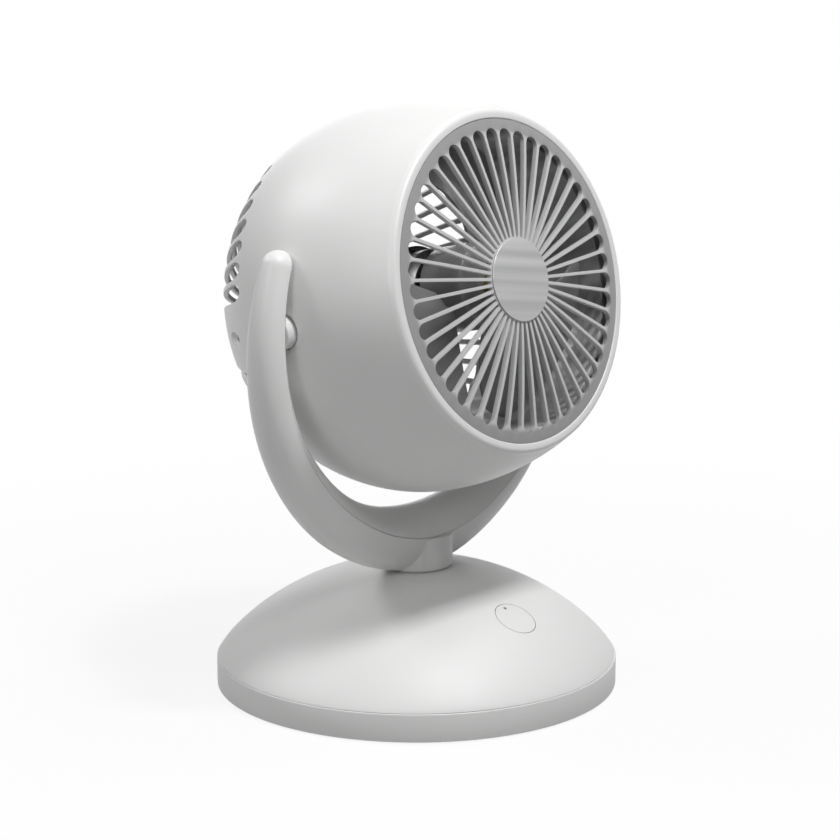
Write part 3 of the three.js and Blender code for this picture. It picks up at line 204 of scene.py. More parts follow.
class Nodes:
    """A node tree to which procedural nodes are added."""

    def __init__(self, tree):
        self.tree = tree

    def node(self, kind, settings=None, sockets=None, output=0):
        made = self.tree.nodes.new(kind)
        for setting, value in (settings or {}).items():
            setattr(made, setting, value)
        for socket, value in (sockets or {}).items():
            if isinstance(value, Socket):
                self.link(value, made.inputs[socket])
            else:
                made.inputs[socket].default_value = value
        return Socket(self, made.outputs[output])

    def link(self, value, socket):
        self.tree.links.new(value.output, socket)

    def length(self, vector):
        return self.node("ShaderNodeVectorMath", {"operation": "LENGTH"}, {0: vector}, "Value")

    def smooth_step(self, value, start, end, low=0, high=1):
        """Goes smoothly from low to high while a value goes from start to end."""
        return self.node(
            "ShaderNodeMapRange",
            {"interpolation_type": "SMOOTHSTEP"},
            {"Value": value, "From Min": start, "From Max": end, "To Min": low, "To Max": high},
        )

    def seen(self):
        """1 on a ray from the camera, off a glossy surface or through a clear one, else 0."""
        return sum(
            self.node("ShaderNodeLightPath", output=f"Is {kind} Ray")
            for kind in ("Camera", "Glossy", "Transmission")
        )


class Finish(Nodes):
    """A material with one Principled shader."""

    def __init__(self, name, colour, roughness, **shader_values):
        self.material = bpy.data.materials.new(name)
        self.material.use_nodes = True
        super().__init__(self.material.node_tree)
        self.shader = self.tree.nodes["Principled BSDF"]
        self.shader.inputs["Base Color"].default_value = (*colour, 1)
        self.shader.inputs["Roughness"].default_value = roughness
        for socket, value in shader_values.items():
            self.shader.inputs[socket.replace("_", " ")].default_value = value

    def set(self, socket, value):
        self.link(value, self.shader.inputs[socket])

    def place(self, turn=(0, 0, 0), grain=(1, 1, 1), start=None, middle=(0, 0, 0)):
        """Where a point is from a middle: turned by degrees, then counted in grains of a size."""
        return self.node(
            "ShaderNodeMapping",
            {"vector_type": "TEXTURE"},
            {
                "Vector": start or self.node("ShaderNodeTexCoord", output="Object"),
                "Location": middle,
                "Rotation": [math.radians(angle) for angle in turn],
                "Scale": grain,
            },
        )

    def noise(self, scale, detail=2, where=None, roughness=0.5):
        return self.node(
            "ShaderNodeTexNoise",
            sockets={
                "Vector": where or self.place(),
                "Scale": scale,
                "Detail": detail,
                "Roughness": roughness,
            },
        )

    def mix(self, share, first, second):
        """A colour between two, by a share from 0 to 1."""
        def as_colour(colour):
            return colour if isinstance(colour, Socket) else (*colour, 1)

        return self.node(
            "ShaderNodeMix",
            {"data_type": "RGBA"},
            {"Factor": share, 6: as_colour(first), 7: as_colour(second)},
            output=2,
        )

    def bump(self, height, depth, strength=1.0):
        """Raises the surface by a height from 0 to 1, times a depth in millimetres."""
        normal = self.node(
            "ShaderNodeBump",
            sockets={"Height": height, "Distance": depth * MM, "Strength": strength},
        )
        self.set("Normal", normal)

    def uneven_gloss(self, roughness, spread, scale, detail):
        """Patches of a roughness that varies by a spread round its middle value."""
        patches = self.noise(scale, detail)
        self.set("Roughness", patches * spread + (roughness - spread / 2))

    def moulded_surface(self, roughness, grain):
        """The uneven gloss and fine spark-eroded grain of a mould, its depth in millimetres."""
        self.uneven_gloss(roughness, 0.08, 160, 2)
        self.bump(self.noise(2600, 2), grain, 0.35)

    def from_axis(self):
        """Where a point is from the fan's axis, as if all lay in one plane square to it."""
        middle = [length * MM for length in FACE_MIDDLE]
        return self.place((90 - REST_TILT, 0, 0), (1, 1, 1000), middle=middle)


def scaled(colour, share):
    return tuple(min(channel * share, 1) for channel in colour)


def moulded_plastic(name, colour, roughness, grain=0.02, **shader_values):
    """Injection-moulded plastic with a faint cloudiness."""
    finish = Finish(name, colour, roughness, **shader_values)
    finish.set("Base Color", finish.mix(finish.noise(28, 3), colour, scaled(colour, 0.97)))
    finish.moulded_surface(roughness, grain)
    return finish.material


def brushed_sheet(name, colour, roughness, stand, slant):
    """Metal brushed in long straight lines, with soft bands that differ in tone and gloss. The
    bands are painted sheen; the hair and lines are the brushing's grain.

    The sheet faces up, stands up by an angle about X, and its lines then slant in it.
    """
    finish = Finish(name, colour, roughness, Metallic=0.8)
    sheet = finish.place((stand, 0, 0))

    def streaks(length, width, detail, rough=0.5):
        grain = finish.place((0, 0, slant), (length, width, width), sheet)
        return finish.noise(1, detail, grain, rough)

    hair = streaks(0.04, 0.00022, 3, 0.6)
    lines = streaks(0.5, 0.0022, 2)
    # Wide soft bands of painted sheen, the stripes of light that brushed metal throws back.
    bands = streaks(0.5, 0.0075, 1)
    tone = hair * 0.15 + lines * 0.25 + bands * 1.2 - 0.3
    finish.set("Base Color", finish.mix(tone, scaled(colour, 0.55), scaled(colour, 1.4)))
    finish.set("Roughness", hair * 0.2 + (roughness - 0.1))
    finish.bump(hair, 0.01, 0.5)
    return finish.material


def plastic_with_painted_reflections(name, dark, light, roughness):
    """Grey plastic with soft dark and light streaks that run along the fan's axis, painted
    reflections of the lamps in its gloss.
    """
    finish = Finish(name, dark, roughness)
    # Painted reflections: light streaks along the axis, as lamps would gleam in a glossy liner.
    streaks = finish.noise(52, 2, finish.from_axis()) * 3.2 - 1.1
    finish.set("Base Color", finish.mix(streaks, dark, light))
    finish.moulded_surface(roughness, 0.008)
    return finish.material


def silver_plastic(name, lit_rib_colour, shaded_rim_colour, roughness):
    """Silver-painted plastic whose rim is darker than the ribs that cross its openings: painted
    shade on the flat rim and painted highlight on the rounded ribs.
    """
    finish = Finish(name, lit_rib_colour, roughness, IOR=1.5)
    radius = finish.length(finish.from_axis())
    # The rim's darker grey is painted shade and the ribs' lighter grey is painted highlight.
    rim = finish.smooth_step(radius, (SLOT_OUTER - 3) * MM, SLOT_OUTER * MM)
    painted = finish.mix(rim, lit_rib_colour, shaded_rim_colour)
    darker = finish.mix(rim, scaled(lit_rib_colour, 0.93), scaled(shaded_rim_colour, 0.93))
    finish.set("Base Color", finish.mix(finish.noise(60, 3), painted, darker))
    finish.moulded_surface(roughness, 0.015)
    return finish.material


def turned_metal(name, colour, roughness):
    """Metal with a fine mill finish and faint stains."""
    finish = Finish(name, colour, roughness, Metallic=0.95)
    finish.set("Base Color", finish.mix(finish.noise(90, 4), scaled(colour, 0.78), colour))
    finish.uneven_gloss(roughness + 0.02, 0.2, 700, 3)
    finish.bump(finish.noise(1800, 2, finish.place(grain=(1, 1, 7))), 0.01, 0.5)
    return finish.material


def moulded_rubber(name, colour, dusty):
    """Matt rubber, paler where dust clings to it."""
    finish = Finish(name, colour, 0.83)
    finish.set("Base Color", finish.mix(finish.noise(140, 4), colour, dusty))
    finish.uneven_gloss(0.83, 0.14, 420, 2)
    finish.bump(finish.noise(1500, 3), 0.05, 0.6)
    return finish.material


def circuit_board(name, lacquer, over_copper):
    """Lacquer over copper tracks that run along and across the board."""
    finish = Finish(name, lacquer, 0.45)
    tracks = finish.node(
        "ShaderNodeTexBrick",
        {"offset": 0.5, "squash": 0.7},
        {"Vector": finish.place(), "Scale": 260, "Mortar Size": 0.05, "Row Height": 0.3},
        output="Fac",
    )
    finish.set("Base Color", finish.mix(tracks, lacquer, over_copper))
    finish.bump(tracks, 0.04)
    return finish.material


WHITE = moulded_plastic("white_shell_plastic", (0.83, 0.83, 0.825), 0.42, IOR=1.48)
BASE_WHITE = moulded_plastic("white_base_plastic", (0.83, 0.83, 0.825), 0.5, IOR=1.48)
# A touch lighter than the shell's white: painted light on the ring's forward face.
BEZEL_WHITE = moulded_plastic("bezel_plastic_with_painted_light", (0.86, 0.86, 0.855), 0.3, IOR=1.5)
# The grille's rib and rim greys carry painted highlight and painted shade.
GRILLE_SILVER = silver_plastic(
    "silver_grille_plastic", (0.66, 0.66, 0.665), (0.36, 0.36, 0.365), 0.36
)
HUB_METAL = brushed_sheet("brushed_hub_metal", (0.47, 0.47, 0.475), 0.4, 90 - REST_TILT, -9.7)
# The duct's light streaks are painted reflections.
DUCT_GREY = plastic_with_painted_reflections("grey_duct_plastic", (0.15, 0.15, 0.155), (0.65, 0.65, 0.655), 0.3)
BRACKET_GREY = moulded_plastic("grey_bracket_plastic", (0.1, 0.1, 0.105), 0.45)
BLADE_GREY = moulded_plastic("grey_blade_plastic", (0.27, 0.27, 0.275), 0.3, IOR=1.5)
INLET_BLACK = moulded_plastic("black_inlet_plastic", (0.02, 0.02, 0.02), 0.45)
BEARING_PLASTIC = moulded_plastic("slippery_bearing_plastic", (0.72, 0.71, 0.67), 0.5)
LAMP_PLASTIC = moulded_plastic("smoked_lamp_plastic", (0.2, 0.2, 0.21), 0.2, grain=0.005)
STEEL = turned_metal("mill_finish_steel", (0.5, 0.5, 0.51), 0.36)
BRASS = turned_metal("machined_brass", (0.62, 0.45, 0.18), 0.34)
RUBBER = moulded_rubber("moulded_foot_rubber", (0.03, 0.03, 0.03), (0.065, 0.065, 0.065))
BOARD = circuit_board("green_circuit_board", (0.02, 0.16, 0.07), (0.06, 0.3, 0.14))


# ---------- Working on a piece ----------
def pick(*pieces):
    bpy.ops.object.select_all(action="DESELECT")
    for piece in pieces:
        piece.select_set(True)
    bpy.context.view_layer.objects.active = pieces[0]


def edit(piece):
    pick(piece)
    bpy.ops.object.mode_set(mode="EDIT")
    bpy.ops.mesh.select_all(action="SELECT")


def leave_edit():
    bpy.ops.object.mode_set(mode="OBJECT")


def fresh(name):
    """Names the primitive that was just added."""
    piece = bpy.context.active_object
    piece.name = name
    return piece


def tidy(piece, gap=0.0005):
    """Merges doubles and turns the faces outwards."""
    edit(piece)
    bpy.ops.mesh.remove_doubles(threshold=gap * MM)
    bpy.ops.mesh.normals_make_consistent(inside=False)
    leave_edit()


def apply_modifiers(piece):
    pick(piece)
    for modifier in list(piece.modifiers):
        bpy.ops.object.modifier_apply(modifier=modifier.name)


def round_edges(piece, width, segments=3, angle=38):
    bevel = piece.modifiers.new("round", "BEVEL")
    bevel.width = width * MM
    bevel.segments = segments
    bevel.limit_method = "ANGLE"
    bevel.angle_limit = math.radians(angle)
    apply_modifiers(piece)


def round_edges_where(piece, width, chosen, segments=3, angle=38):
    """Bevels only the sharp edges whose middles, in millimetres, pass a test."""
    pick(piece)
    bpy.ops.object.mode_set(mode="EDIT")
    bpy.ops.mesh.select_mode(type="EDGE")
    bpy.ops.mesh.select_all(action="DESELECT")
    bpy.ops.mesh.edges_select_sharp(sharpness=math.radians(angle))
    leave_edit()
    for edge in piece.data.edges:
        a, b = (piece.data.vertices[i].co for i in edge.vertices)
        edge.select = edge.select and chosen((a + b) / 2 / MM)
    bpy.ops.object.mode_set(mode="EDIT")
    bpy.ops.mesh.bevel(offset=width * MM, segments=segments, affect="EDGES")
    bpy.ops.mesh.select_mode(type="VERT")
    leave_edit()


def cut_by(piece, *cutters):
    """Cuts each cutter out of the piece."""
    for cutter in cutters:
        combine(piece, cutter, "DIFFERENCE")


def combine(piece, other, how):
    """Changes a piece by a boolean with another, which is used up."""
    boolean = piece.modifiers.new("combine", "BOOLEAN")
    boolean.operation = how
    boolean.solver = "EXACT"
    boolean.object = other
    apply_modifiers(piece)
    bpy.data.objects.remove(other)


def join(piece, *others):
    pick(piece, *others)
    bpy.ops.object.join()
    return piece


def copy_of(piece, name):
    pick(piece)
    bpy.ops.object.duplicate()
    return fresh(name)


def set_place(piece, location=(0, 0, 0), turn=(0, 0, 0)):
    """Moves and turns a piece about the origin, and puts that into its mesh."""
    pick(piece)
    piece.location = Vector(location) * MM
    piece.rotation_euler = [math.radians(angle) for angle in turn]
    bpy.ops.object.transform_apply(location=True, rotation=True, scale=True)
    return piece


def put_in_head(piece):
    """Takes a piece made about the fan's own axis, facing +Z, to its place in the tilted head."""
    return set_place(piece, FACE_MIDDLE, (90 - REST_TILT, 0, 0))


def finish_piece(piece, body, material, slot, *nodes, smooth=38):
    """Shades and dresses a piece, and lets it ride in place of its CAD nodes."""
    pick(piece)
    bpy.ops.object.shade_smooth_by_angle(angle=math.radians(smooth))
    piece.data.materials.clear()
    piece.data.materials.append(material)
    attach(piece, body)
    if nodes:
        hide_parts(*nodes)


def turned(name, outline, steps=160):
    """Draws an outline of [radius, height] points by extruding a point, and spins it about Z."""
    bpy.ops.object.select_all(action="DESELECT")
    bpy.ops.mesh.primitive_plane_add(size=MM)
    piece = fresh(name)
    bpy.ops.object.mode_set(mode="EDIT")
    bpy.ops.mesh.select_all(action="SELECT")
    bpy.ops.mesh.merge(type="CENTER")
    radius, height = outline[0]
    bpy.ops.transform.translate(value=(radius * MM, 0, height * MM))
    on_axis = outline[0][0] == 0 and outline[-1][0] == 0
    ends = outline[1:] if on_axis else [*outline[1:], outline[0]]
    for (r0, z0), (r1, z1) in zip(outline, ends):
        bpy.ops.mesh.extrude_region_move(
            TRANSFORM_OT_translate={"value": ((r1 - r0) * MM, 0, (z1 - z0) * MM)}
        )
    bpy.ops.mesh.select_all(action="SELECT")
    bpy.ops.mesh.spin(steps=steps, angle=2 * math.pi, center=(0, 0, 0), axis=(0, 0, 1))
    leave_edit()
    tidy(piece)
    return piece


def rod(name, radius, low, high, sides=64):
    bpy.ops.object.select_all(action="DESELECT")
    bpy.ops.mesh.primitive_cylinder_add(
        vertices=sides,
        radius=radius * MM,
        depth=abs(high - low) * MM,
        location=(0, 0, (low + high) / 2 * MM),
    )
    piece = fresh(name)
    bpy.ops.object.transform_apply(location=True, rotation=True, scale=True)
    return piece


def block(name, size, middle):
    bpy.ops.object.select_all(action="DESELECT")
    bpy.ops.mesh.primitive_cube_add(size=1, location=Vector(middle) * MM)
    piece = fresh(name)
    piece.scale = Vector(size) * MM
    bpy.ops.object.transform_apply(location=True, rotation=True, scale=True)
    return piece


def on_circle(radius, angle, height=0):
    """A place round Z, where angle 0 is +X."""
    turn = math.radians(angle)
    return radius * math.cos(turn), radius * math.sin(turn), height


def rods_around(radius, angles, *measures):
    """Rods of one radius, low and high end and number of sides, round Z and joined to one."""
    return join(*(set_place(rod("hole", *measures), on_circle(radius, angle)) for angle in angles))


def bent_sheet(name, columns, rows, place, closed_across=False, closed_ends=False):
    """A grid whose points are put by place(along, across), each from 0 to 1."""
    bpy.ops.object.select_all(action="DESELECT")
    bpy.ops.mesh.primitive_grid_add(x_subdivisions=columns, y_subdivisions=rows, size=1)
    piece = fresh(name)
    for vertex in piece.data.vertices:
        along, across = vertex.co.x + 0.5, vertex.co.y + 0.5
        vertex.co = Vector(place(along, across)) * MM
    if closed_across:
        tidy(piece)
    if closed_ends:
        edit(piece)
        bpy.ops.mesh.select_all(action="DESELECT")
        bpy.ops.mesh.select_mode(type="EDGE")
        bpy.ops.mesh.select_non_manifold()
        bpy.ops.mesh.fill()
        bpy.ops.mesh.select_all(action="SELECT")
        bpy.ops.mesh.normals_make_consistent(inside=False)
        bpy.ops.mesh.select_mode(type="VERT")
        leave_edit()
    return piece


def offset(points, distance):
    """A curve of [radius, height] points moved square to itself."""
    moved = []
    for i, (r, z) in enumerate(points):
        r0, z0 = points[max(i - 1, 0)]
        r1, z1 = points[min(i + 1, len(points) - 1)]
        length = math.hypot(r1 - r0, z1 - z0)
        moved.append([r - (z1 - z0) / length * distance, z + (r1 - r0) / length * distance])
    return moved


def round_corner(start, corner, end, steps=6):
    """Points of an outline from start to end on a curve that a corner pulls towards itself."""
    points = []
    for i in range(steps + 1):
        t = i / steps
        points.append([
            (1 - t) ** 2 * a + 2 * t * (1 - t) * b + t**2 * c
            for a, b, c in zip(start, corner, end)
        ])
    return points


def wedge(name, inner, outer, pitch, rib, low, high, sides=32):
    """Cuts one radial slot along +X: straight sides beside the ribs and a round outer end."""
    half = math.radians(pitch / 2)
    end_radius = (outer * math.sin(half) - rib / 2) / (1 + math.sin(half))
    middle = outer - end_radius
    places = {
        False: (inner, inner * math.tan(half) - rib / 2 / math.cos(half)),
        True: (middle - end_radius * math.sin(half), end_radius * math.cos(half)),
    }
    piece = block(name, (1, 1, 1), (0, 0, 0))
    for vertex in piece.data.vertices:
        x, half_width = places[vertex.co.x > 0]
        y = half_width if vertex.co.y > 0 else -half_width
        vertex.co = Vector((x, y, high if vertex.co.z > 0 else low)) * MM
    end = set_place(rod("slot_end", end_radius, low, high, sides), (middle, 0, 0))
    combine(piece, end, "UNION")
    return piece


def ring_of_wedges(first, angles):
    """Copies one slot cutter to each angle round Z and joins them."""
    copies = []
    for i, angle in enumerate(angles):
        copies.append(set_place(copy_of(first, f"slot_{i}"), turn=(0, 0, angle)))
    bpy.data.objects.remove(first)
    return join(*copies)


# ---------- Base ----------
def dome_height(radius):
    left = 1 - (radius / DOME_RIM_RADIUS) ** DOME_FULLNESS
    return BAND_TOP + DOME_RISE * max(left, 0) ** DOME_SHOULDER


def dome_curve(steps=48):
    """The dome's outside from the rim to the edge of its flat top."""
    points = []
    for i in range(steps + 1):
        r = DOME_RIM_RADIUS - (DOME_RIM_RADIUS - LAND_RADIUS) * (i / steps) ** 1.7
        points.append([r, max(dome_height(r), BAND_TOP + BAND_SEAM)])
    return points


BUTTON_Z = dome_height(BUTTON_FROM_AXIS)
BUTTON_SLOPE = math.degrees(
    math.atan((dome_height(BUTTON_FROM_AXIS - 0.01) - dome_height(BUTTON_FROM_AXIS + 0.01)) / 0.02)
)


def put_in_dome(piece):
    """Takes a piece made about the button's own axis to its place in the dome."""
    return set_place(piece, (0, -BUTTON_FROM_AXIS, BUTTON_Z), (BUTTON_SLOPE, 0, 0))


def make_base_pan():
    pan = turned("base_band", [
        [0, BAND_BOTTOM],
        [BASE_RADIUS, BAND_BOTTOM],
        [BASE_RADIUS, BAND_TOP],
        [BASE_RADIUS - FLOOR_WALL, BAND_TOP],
        [BASE_RADIUS - FLOOR_WALL, BAND_BOTTOM + FLOOR_WALL],
        [0, BAND_BOTTOM + FLOOR_WALL],
    ], 200)
    round_edges(pan, 0.45)
    sink = BASE_SCREW_SEAT + 0.3
    cut_by(
        pan,
        rods_around(FEET_RADIUS, CORNER_ANGLES, FOOT_RADIUS + 0.3, 0, FOOT_RECESS_TOP),
        rods_around(BASE_SCREWS_RADIUS, BASE_SCREW_ANGLES, SCREW_SINK_RADIUS, 0, sink, 40),
        rods_around(BASE_SCREWS_RADIUS, BASE_SCREW_ANGLES, SCREW_HOLE_RADIUS, 0, 5, 32),
        block("inlet_window", (9.6, 12, 10), (0, 97, INLET_MIDDLE_Z)),
    )
    finish_piece(pan, "base", BASE_WHITE, "white_plastic", "base_pan")


def make_base_dome():
    outer = dome_curve()
    inner = [point for point in offset(outer, FLOOR_WALL)[::3] if point[0] < 95]
    skirt_outer, skirt_inner = DOME_RIM_RADIUS - 2.6, DOME_RIM_RADIUS - 4.2
    skirt_bottom, land = BAND_TOP - 3.7, outer[-1][1]
    dome = turned("base_dome_shell", [
        [skirt_outer, skirt_bottom],
        [skirt_outer, BAND_TOP + BAND_SEAM],
        *outer,
        [STEM_HOLE, land],
        [STEM_HOLE, land - FLOOR_WALL],
        *reversed(inner),
        [skirt_inner, skirt_bottom],
    ], 200)
    hole = put_in_dome(rod("button_hole", BUTTON_RADIUS + BUTTON_GROOVE, -12, 12, 96))
    notch = block("inlet_notch", (10.2, 14, 10), (0, 93, INLET_MIDDLE_Z))
    cut_by(dome, hole, notch)
    finish_piece(dome, "base", BASE_WHITE, "white_plastic", "base_dome", smooth=25)


def make_button():
    """The cap follows the dome: a rod cut to a thin round by its intersection with a solid dome."""
    top = [point for point in dome_curve(60) if point[0] < 90]
    dome = turned("dome_solid", [[0, 20], [90, 20], *top, [0, 59.6]], 240)
    cap = put_in_dome(rod("button_cap", BUTTON_RADIUS, -2.6, 12, 96))
    combine(cap, dome, "INTERSECT")
    round_edges(cap, 0.3, angle=50)
    cut_by(cap, put_in_dome(
        set_place(rod("light_hole", LIGHT_RADIUS + 0.12, -2, 6, 32), (0, LIGHT_FROM_CENTRE, 0))
    ))
    stem = put_in_dome(rod("button_stem", BUTTON_STEM_RADIUS, -7.8, -2.5, 24))
    join(cap, stem)
    finish_piece(cap, "button", BASE_WHITE, "white_plastic", "power_button", smooth=25)
    light = turned("button_light", [
        [0, -3], [LIGHT_RADIUS, -3], [LIGHT_RADIUS, -0.35], [LIGHT_RADIUS * 0.6, -0.12], [0, -0.06],
    ], 32)
    put_in_dome(set_place(light, (0, LIGHT_FROM_CENTRE, 0)))
    finish_piece(light, "button", LAMP_PLASTIC, "clear_lens", "indicator_lens")


def make_feet():
    """Rubber feet that stand on a ring round a shallow dish."""
    for i, angle in enumerate(CORNER_ANGLES):
        foot = turned(f"rubber_foot_{i + 1}", [
            [0, 0.15], [5.8, 0.15], [6.2, 0], [8.4, 0],
            [FOOT_RADIUS, 0.5], [FOOT_RADIUS, 1.7], [0, 1.7],
        ], 56)
        round_edges(foot, 0.12, 2, 20)
        set_place(foot, on_circle(FEET_RADIUS, angle))
        finish_piece(foot, "base", RUBBER, "rubber", f"foot_{i + 1}")


def screw(name, length):
    """A pan-head screw with a cross recess, head downwards from z = 0."""
    body = turned(name, [
        [0, -SCREW_HEAD_HEIGHT], [1.6, -1.16], [2.6, -0.9], [3.1, -0.35], [SCREW_HEAD_RADIUS, 0],
        [SCREW_RADIUS, 0], [SCREW_RADIUS, length - SCREW_RADIUS], [0, length],
    ], 40)
    across = block("recess_a", (3.4, 0.7, 1.4), (0, 0, -SCREW_HEAD_HEIGHT))
    along = block("recess_b", (0.7, 3.4, 1.4), (0, 0, -SCREW_HEAD_HEIGHT))
    cut_by(body, across, along)
    return body


def make_base_screws():
    """Each screw stops at its own turn."""
    for i, angle in enumerate(BASE_SCREW_ANGLES):
        piece = set_place(screw(f"pan_screw_{i + 1}", BASE_SCREW_LENGTH), turn=(0, 0, 17 * i))
        set_place(piece, on_circle(BASE_SCREWS_RADIUS, angle, BASE_SCREW_SEAT))
        finish_piece(piece, "base", STEEL, "steel", f"base_screw_{i + 1}")


def make_inlet():
    """A barrel socket with a round lead-in and one contact pin."""
    mouth = (0, INLET_MOUTH, INLET_MIDDLE_Z)
    inlet = block("inlet_housing", INLET_SIZE, (0, INLET_MOUTH - INLET_SIZE[1] / 2, INLET_MIDDLE_Z))
    round_edges(inlet, 0.5)
    for radius, depth in ((INLET_BORE, 10), (INLET_BORE + 0.5, 0.5)):
        cut_by(inlet, set_place(rod("bore", radius, -1, depth, 48), mouth, (90, 0, 0)))
    finish_piece(inlet, "base", INLET_BLACK, "dark_plastic", "power_inlet")
    pin = turned("inlet_contact", [[0, 0], [1, 0], [1, 7.5], [0.6, 8.3], [0, 8.4]], 32)
    set_place(pin, (0, INLET_MOUTH - 9.9, INLET_MIDDLE_Z), (-90, 0, 0))
    finish_piece(pin, "base", STEEL, "steel")


# ---------- Fork ----------
def along_fork(values):
    """A smooth value up the arm, the same on both sides, through five even places."""
    mirrored = [*reversed(values[1:]), *values]

    def value(angle):
        at = (angle / FORK_TIP_ANGLE + 1) / 2 * (len(mirrored) - 1)
        i = min(int(at), len(mirrored) - 2)
        t = at - i
        before = mirrored[max(i - 1, 0)]
        first, second = mirrored[i], mirrored[i + 1]
        after = mirrored[min(i + 2, len(mirrored) - 1)]
        v0, v1 = (second - before) / 2, (after - first) / 2
        return (
            (2 * first - 2 * second + v0 + v1) * t**3
            + (3 * second - 3 * first - 2 * v0 - v1) * t**2
            + v0 * t
            + first
        )

    return value


edge_radius = along_fork(FORK_EDGE_RADIUS)
half_width = along_fork(FORK_HALF_WIDTH)
inner_crown = along_fork(FORK_INNER_CROWN)
outer_crown = along_fork(FORK_OUTER_CROWN)


def fork_angle(along):
    """Even steps up the arm, then ones that close the round of the tip. Also how full it is."""
    column = abs(along - 0.5) * 2 * (FORK_COLUMNS / 2)
    straight = FORK_COLUMNS / 2 - TIP_COLUMNS
    side = 1 if along > 0.5 else -1
    if column <= straight:
        return side * FORK_ROUND_ANGLE * column / straight, 1.0
    turn = (column - straight) / TIP_COLUMNS * math.radians(88)
    angle = FORK_ROUND_ANGLE + (FORK_TIP_ANGLE - FORK_ROUND_ANGLE) * math.sin(turn)
    return side * angle, math.cos(turn)


def fork_point(angle, across, radius):
    turn = math.radians(angle)
    return radius * math.sin(turn), across, FORK_CENTRE_Z - radius * math.cos(turn)


def outer_shell_place(along, across):
    """Over the outer crown from edge to edge, then back across the flat."""
    angle, full = fork_angle(along)
    wide, edge = half_width(angle) * full, edge_radius(angle)
    if across < CROWN_SIDE:
        s = -math.cos(across / CROWN_SIDE * math.pi)
        rise = outer_crown(angle) * full * max(1 - abs(s) ** 2.4, 0) ** 0.625
        return fork_point(angle, wide * s, edge + rise)
    s = 1 - (across - CROWN_SIDE) / (1 - CROWN_SIDE) * 2
    return fork_point(angle, wide * s, edge)


def lining_place(along, across):
    """Over the inner crown, whose edges are full, then back across the flat."""
    angle, full = fork_angle(along)
    wide, rim = half_width(angle) * full, edge_radius(angle) - 0.22
    if across < CROWN_SIDE:
        s = math.cos(across / CROWN_SIDE * math.pi)
        drop = full * (inner_crown(angle) * (1 - s**2) + COVER_EDGE * (1 - s**8))
        return fork_point(angle, wide * s, rim - drop)
    s = -1 + (across - CROWN_SIDE) / (1 - CROWN_SIDE) * 2
    return fork_point(angle, wide * s, rim)


def make_fork():
    arms = bent_sheet("fork_arms", FORK_COLUMNS, FORK_ROWS, outer_shell_place, True, True)
    neck = turned("neck", [
        [NECK_BORE, 55], [NECK_RADIUS, 55], [NECK_RADIUS, NECK_TOP], [NECK_BORE, NECK_TOP],
    ], 120)
    combine(arms, neck, "UNION")
    neck_bottom = dome_height(LAND_RADIUS) + NECK_ABOVE_LAND
    cut_by(arms, block("below_neck", (120, 80, 30), (0, 0, neck_bottom - 15)))
    cut_by(arms, rod("stem_space", STEM_HOLE, 50, 66, 64))
    round_edges(arms, 0.35, 3, 45)
    finish_piece(arms, "fork", WHITE, "white_plastic", "fork_outer_shell", smooth=40)
    lining = bent_sheet("fork_lining", FORK_COLUMNS, FORK_ROWS, lining_place, True, True)
    for side in (-1, 1):
        seat = rod("pin_seat", PIN_RADIUS + 0.3, side * 90, side * (PIN_TO + 0.3), 64)
        cut_by(lining, set_place(seat, (0, TILT_AXIS_Y, TILT_AXIS_Z), (0, 90, 0)))
    finish_piece(lining, "fork", WHITE, "white_plastic", "fork_inner_cover", smooth=40)


def make_pins():
    inner_end, outer_end = PIN_FROM - PIN_SHAFT_IN_HEAD, PIN_TO + PIN_SHAFT_IN_FORK
    for side, name in ((-1, "left"), (1, "right")):
        pin = turned(f"pin_{name}", [
            [0, inner_end], [PIN_SHAFT_RADIUS, inner_end], [PIN_SHAFT_RADIUS, PIN_FROM],
            [PIN_RADIUS, PIN_FROM], [PIN_RADIUS, PIN_TO],
            [PIN_SHAFT_RADIUS, PIN_TO], [PIN_SHAFT_RADIUS, outer_end], [0, outer_end],
        ], 96)
        round_edges(pin, 0.5)
        set_place(pin, (0, TILT_AXIS_Y, TILT_AXIS_Z), (0, side * 90, 0))
        finish_piece(pin, "fork", WHITE, "white_plastic", f"tilt_pin_{name}")


# ---------- Head ----------
def head_radius(behind):
    """The shell's radius at a distance behind its face, in two curves that meet at the widest."""
    before = behind < FACE_TO_WIDEST
    length, power = (NOSE_LENGTH, NOSE_POWER) if before else (TAIL_LENGTH, TAIL_POWER)
    share = abs(behind - FACE_TO_WIDEST) / length
    return HEAD_RADIUS * max(1 - share**power, 0) ** (1 / power)


def make_front_shell():
    first, last, steps = BEZEL_DEPTH + 0.04, SEAM_BEHIND_FACE - HALF_SEAM, 56
    places = [last + (first - last) * i / steps for i in range(steps + 1)]
    outer = [[head_radius(behind), -behind] for behind in places]
    inner = offset(outer, SHELL_WALL)[::4]
    inner[0][1], inner[-1][1] = outer[0][1], outer[-1][1]
    shell = turned("head_front", [*outer, *reversed(inner)], 200)
    for side in (-1, 1):
        for radius, depth in ((PIN_DISH_RADIUS, PIN_DISH_DEPTH), (PIN_RADIUS + 0.4, 12)):
            ends = side * (HEAD_RADIUS - depth), side * (HEAD_RADIUS + 6)
            hole = rod("pin_hole", radius, *ends, 96)
            cut_by(shell, set_place(hole, (0, -FAN_ABOVE_TILT_AXIS, -FACE_AHEAD), (0, 90, 0)))
    low, high = -SEAM_BEHIND_FACE + 1, -BEZEL_DEPTH - 1
    round_edges_where(shell, 0.3, lambda place: low < place.z < high, 2, 50)
    finish_piece(put_in_head(shell), "head", WHITE, "white_plastic", "front_shell", smooth=25)


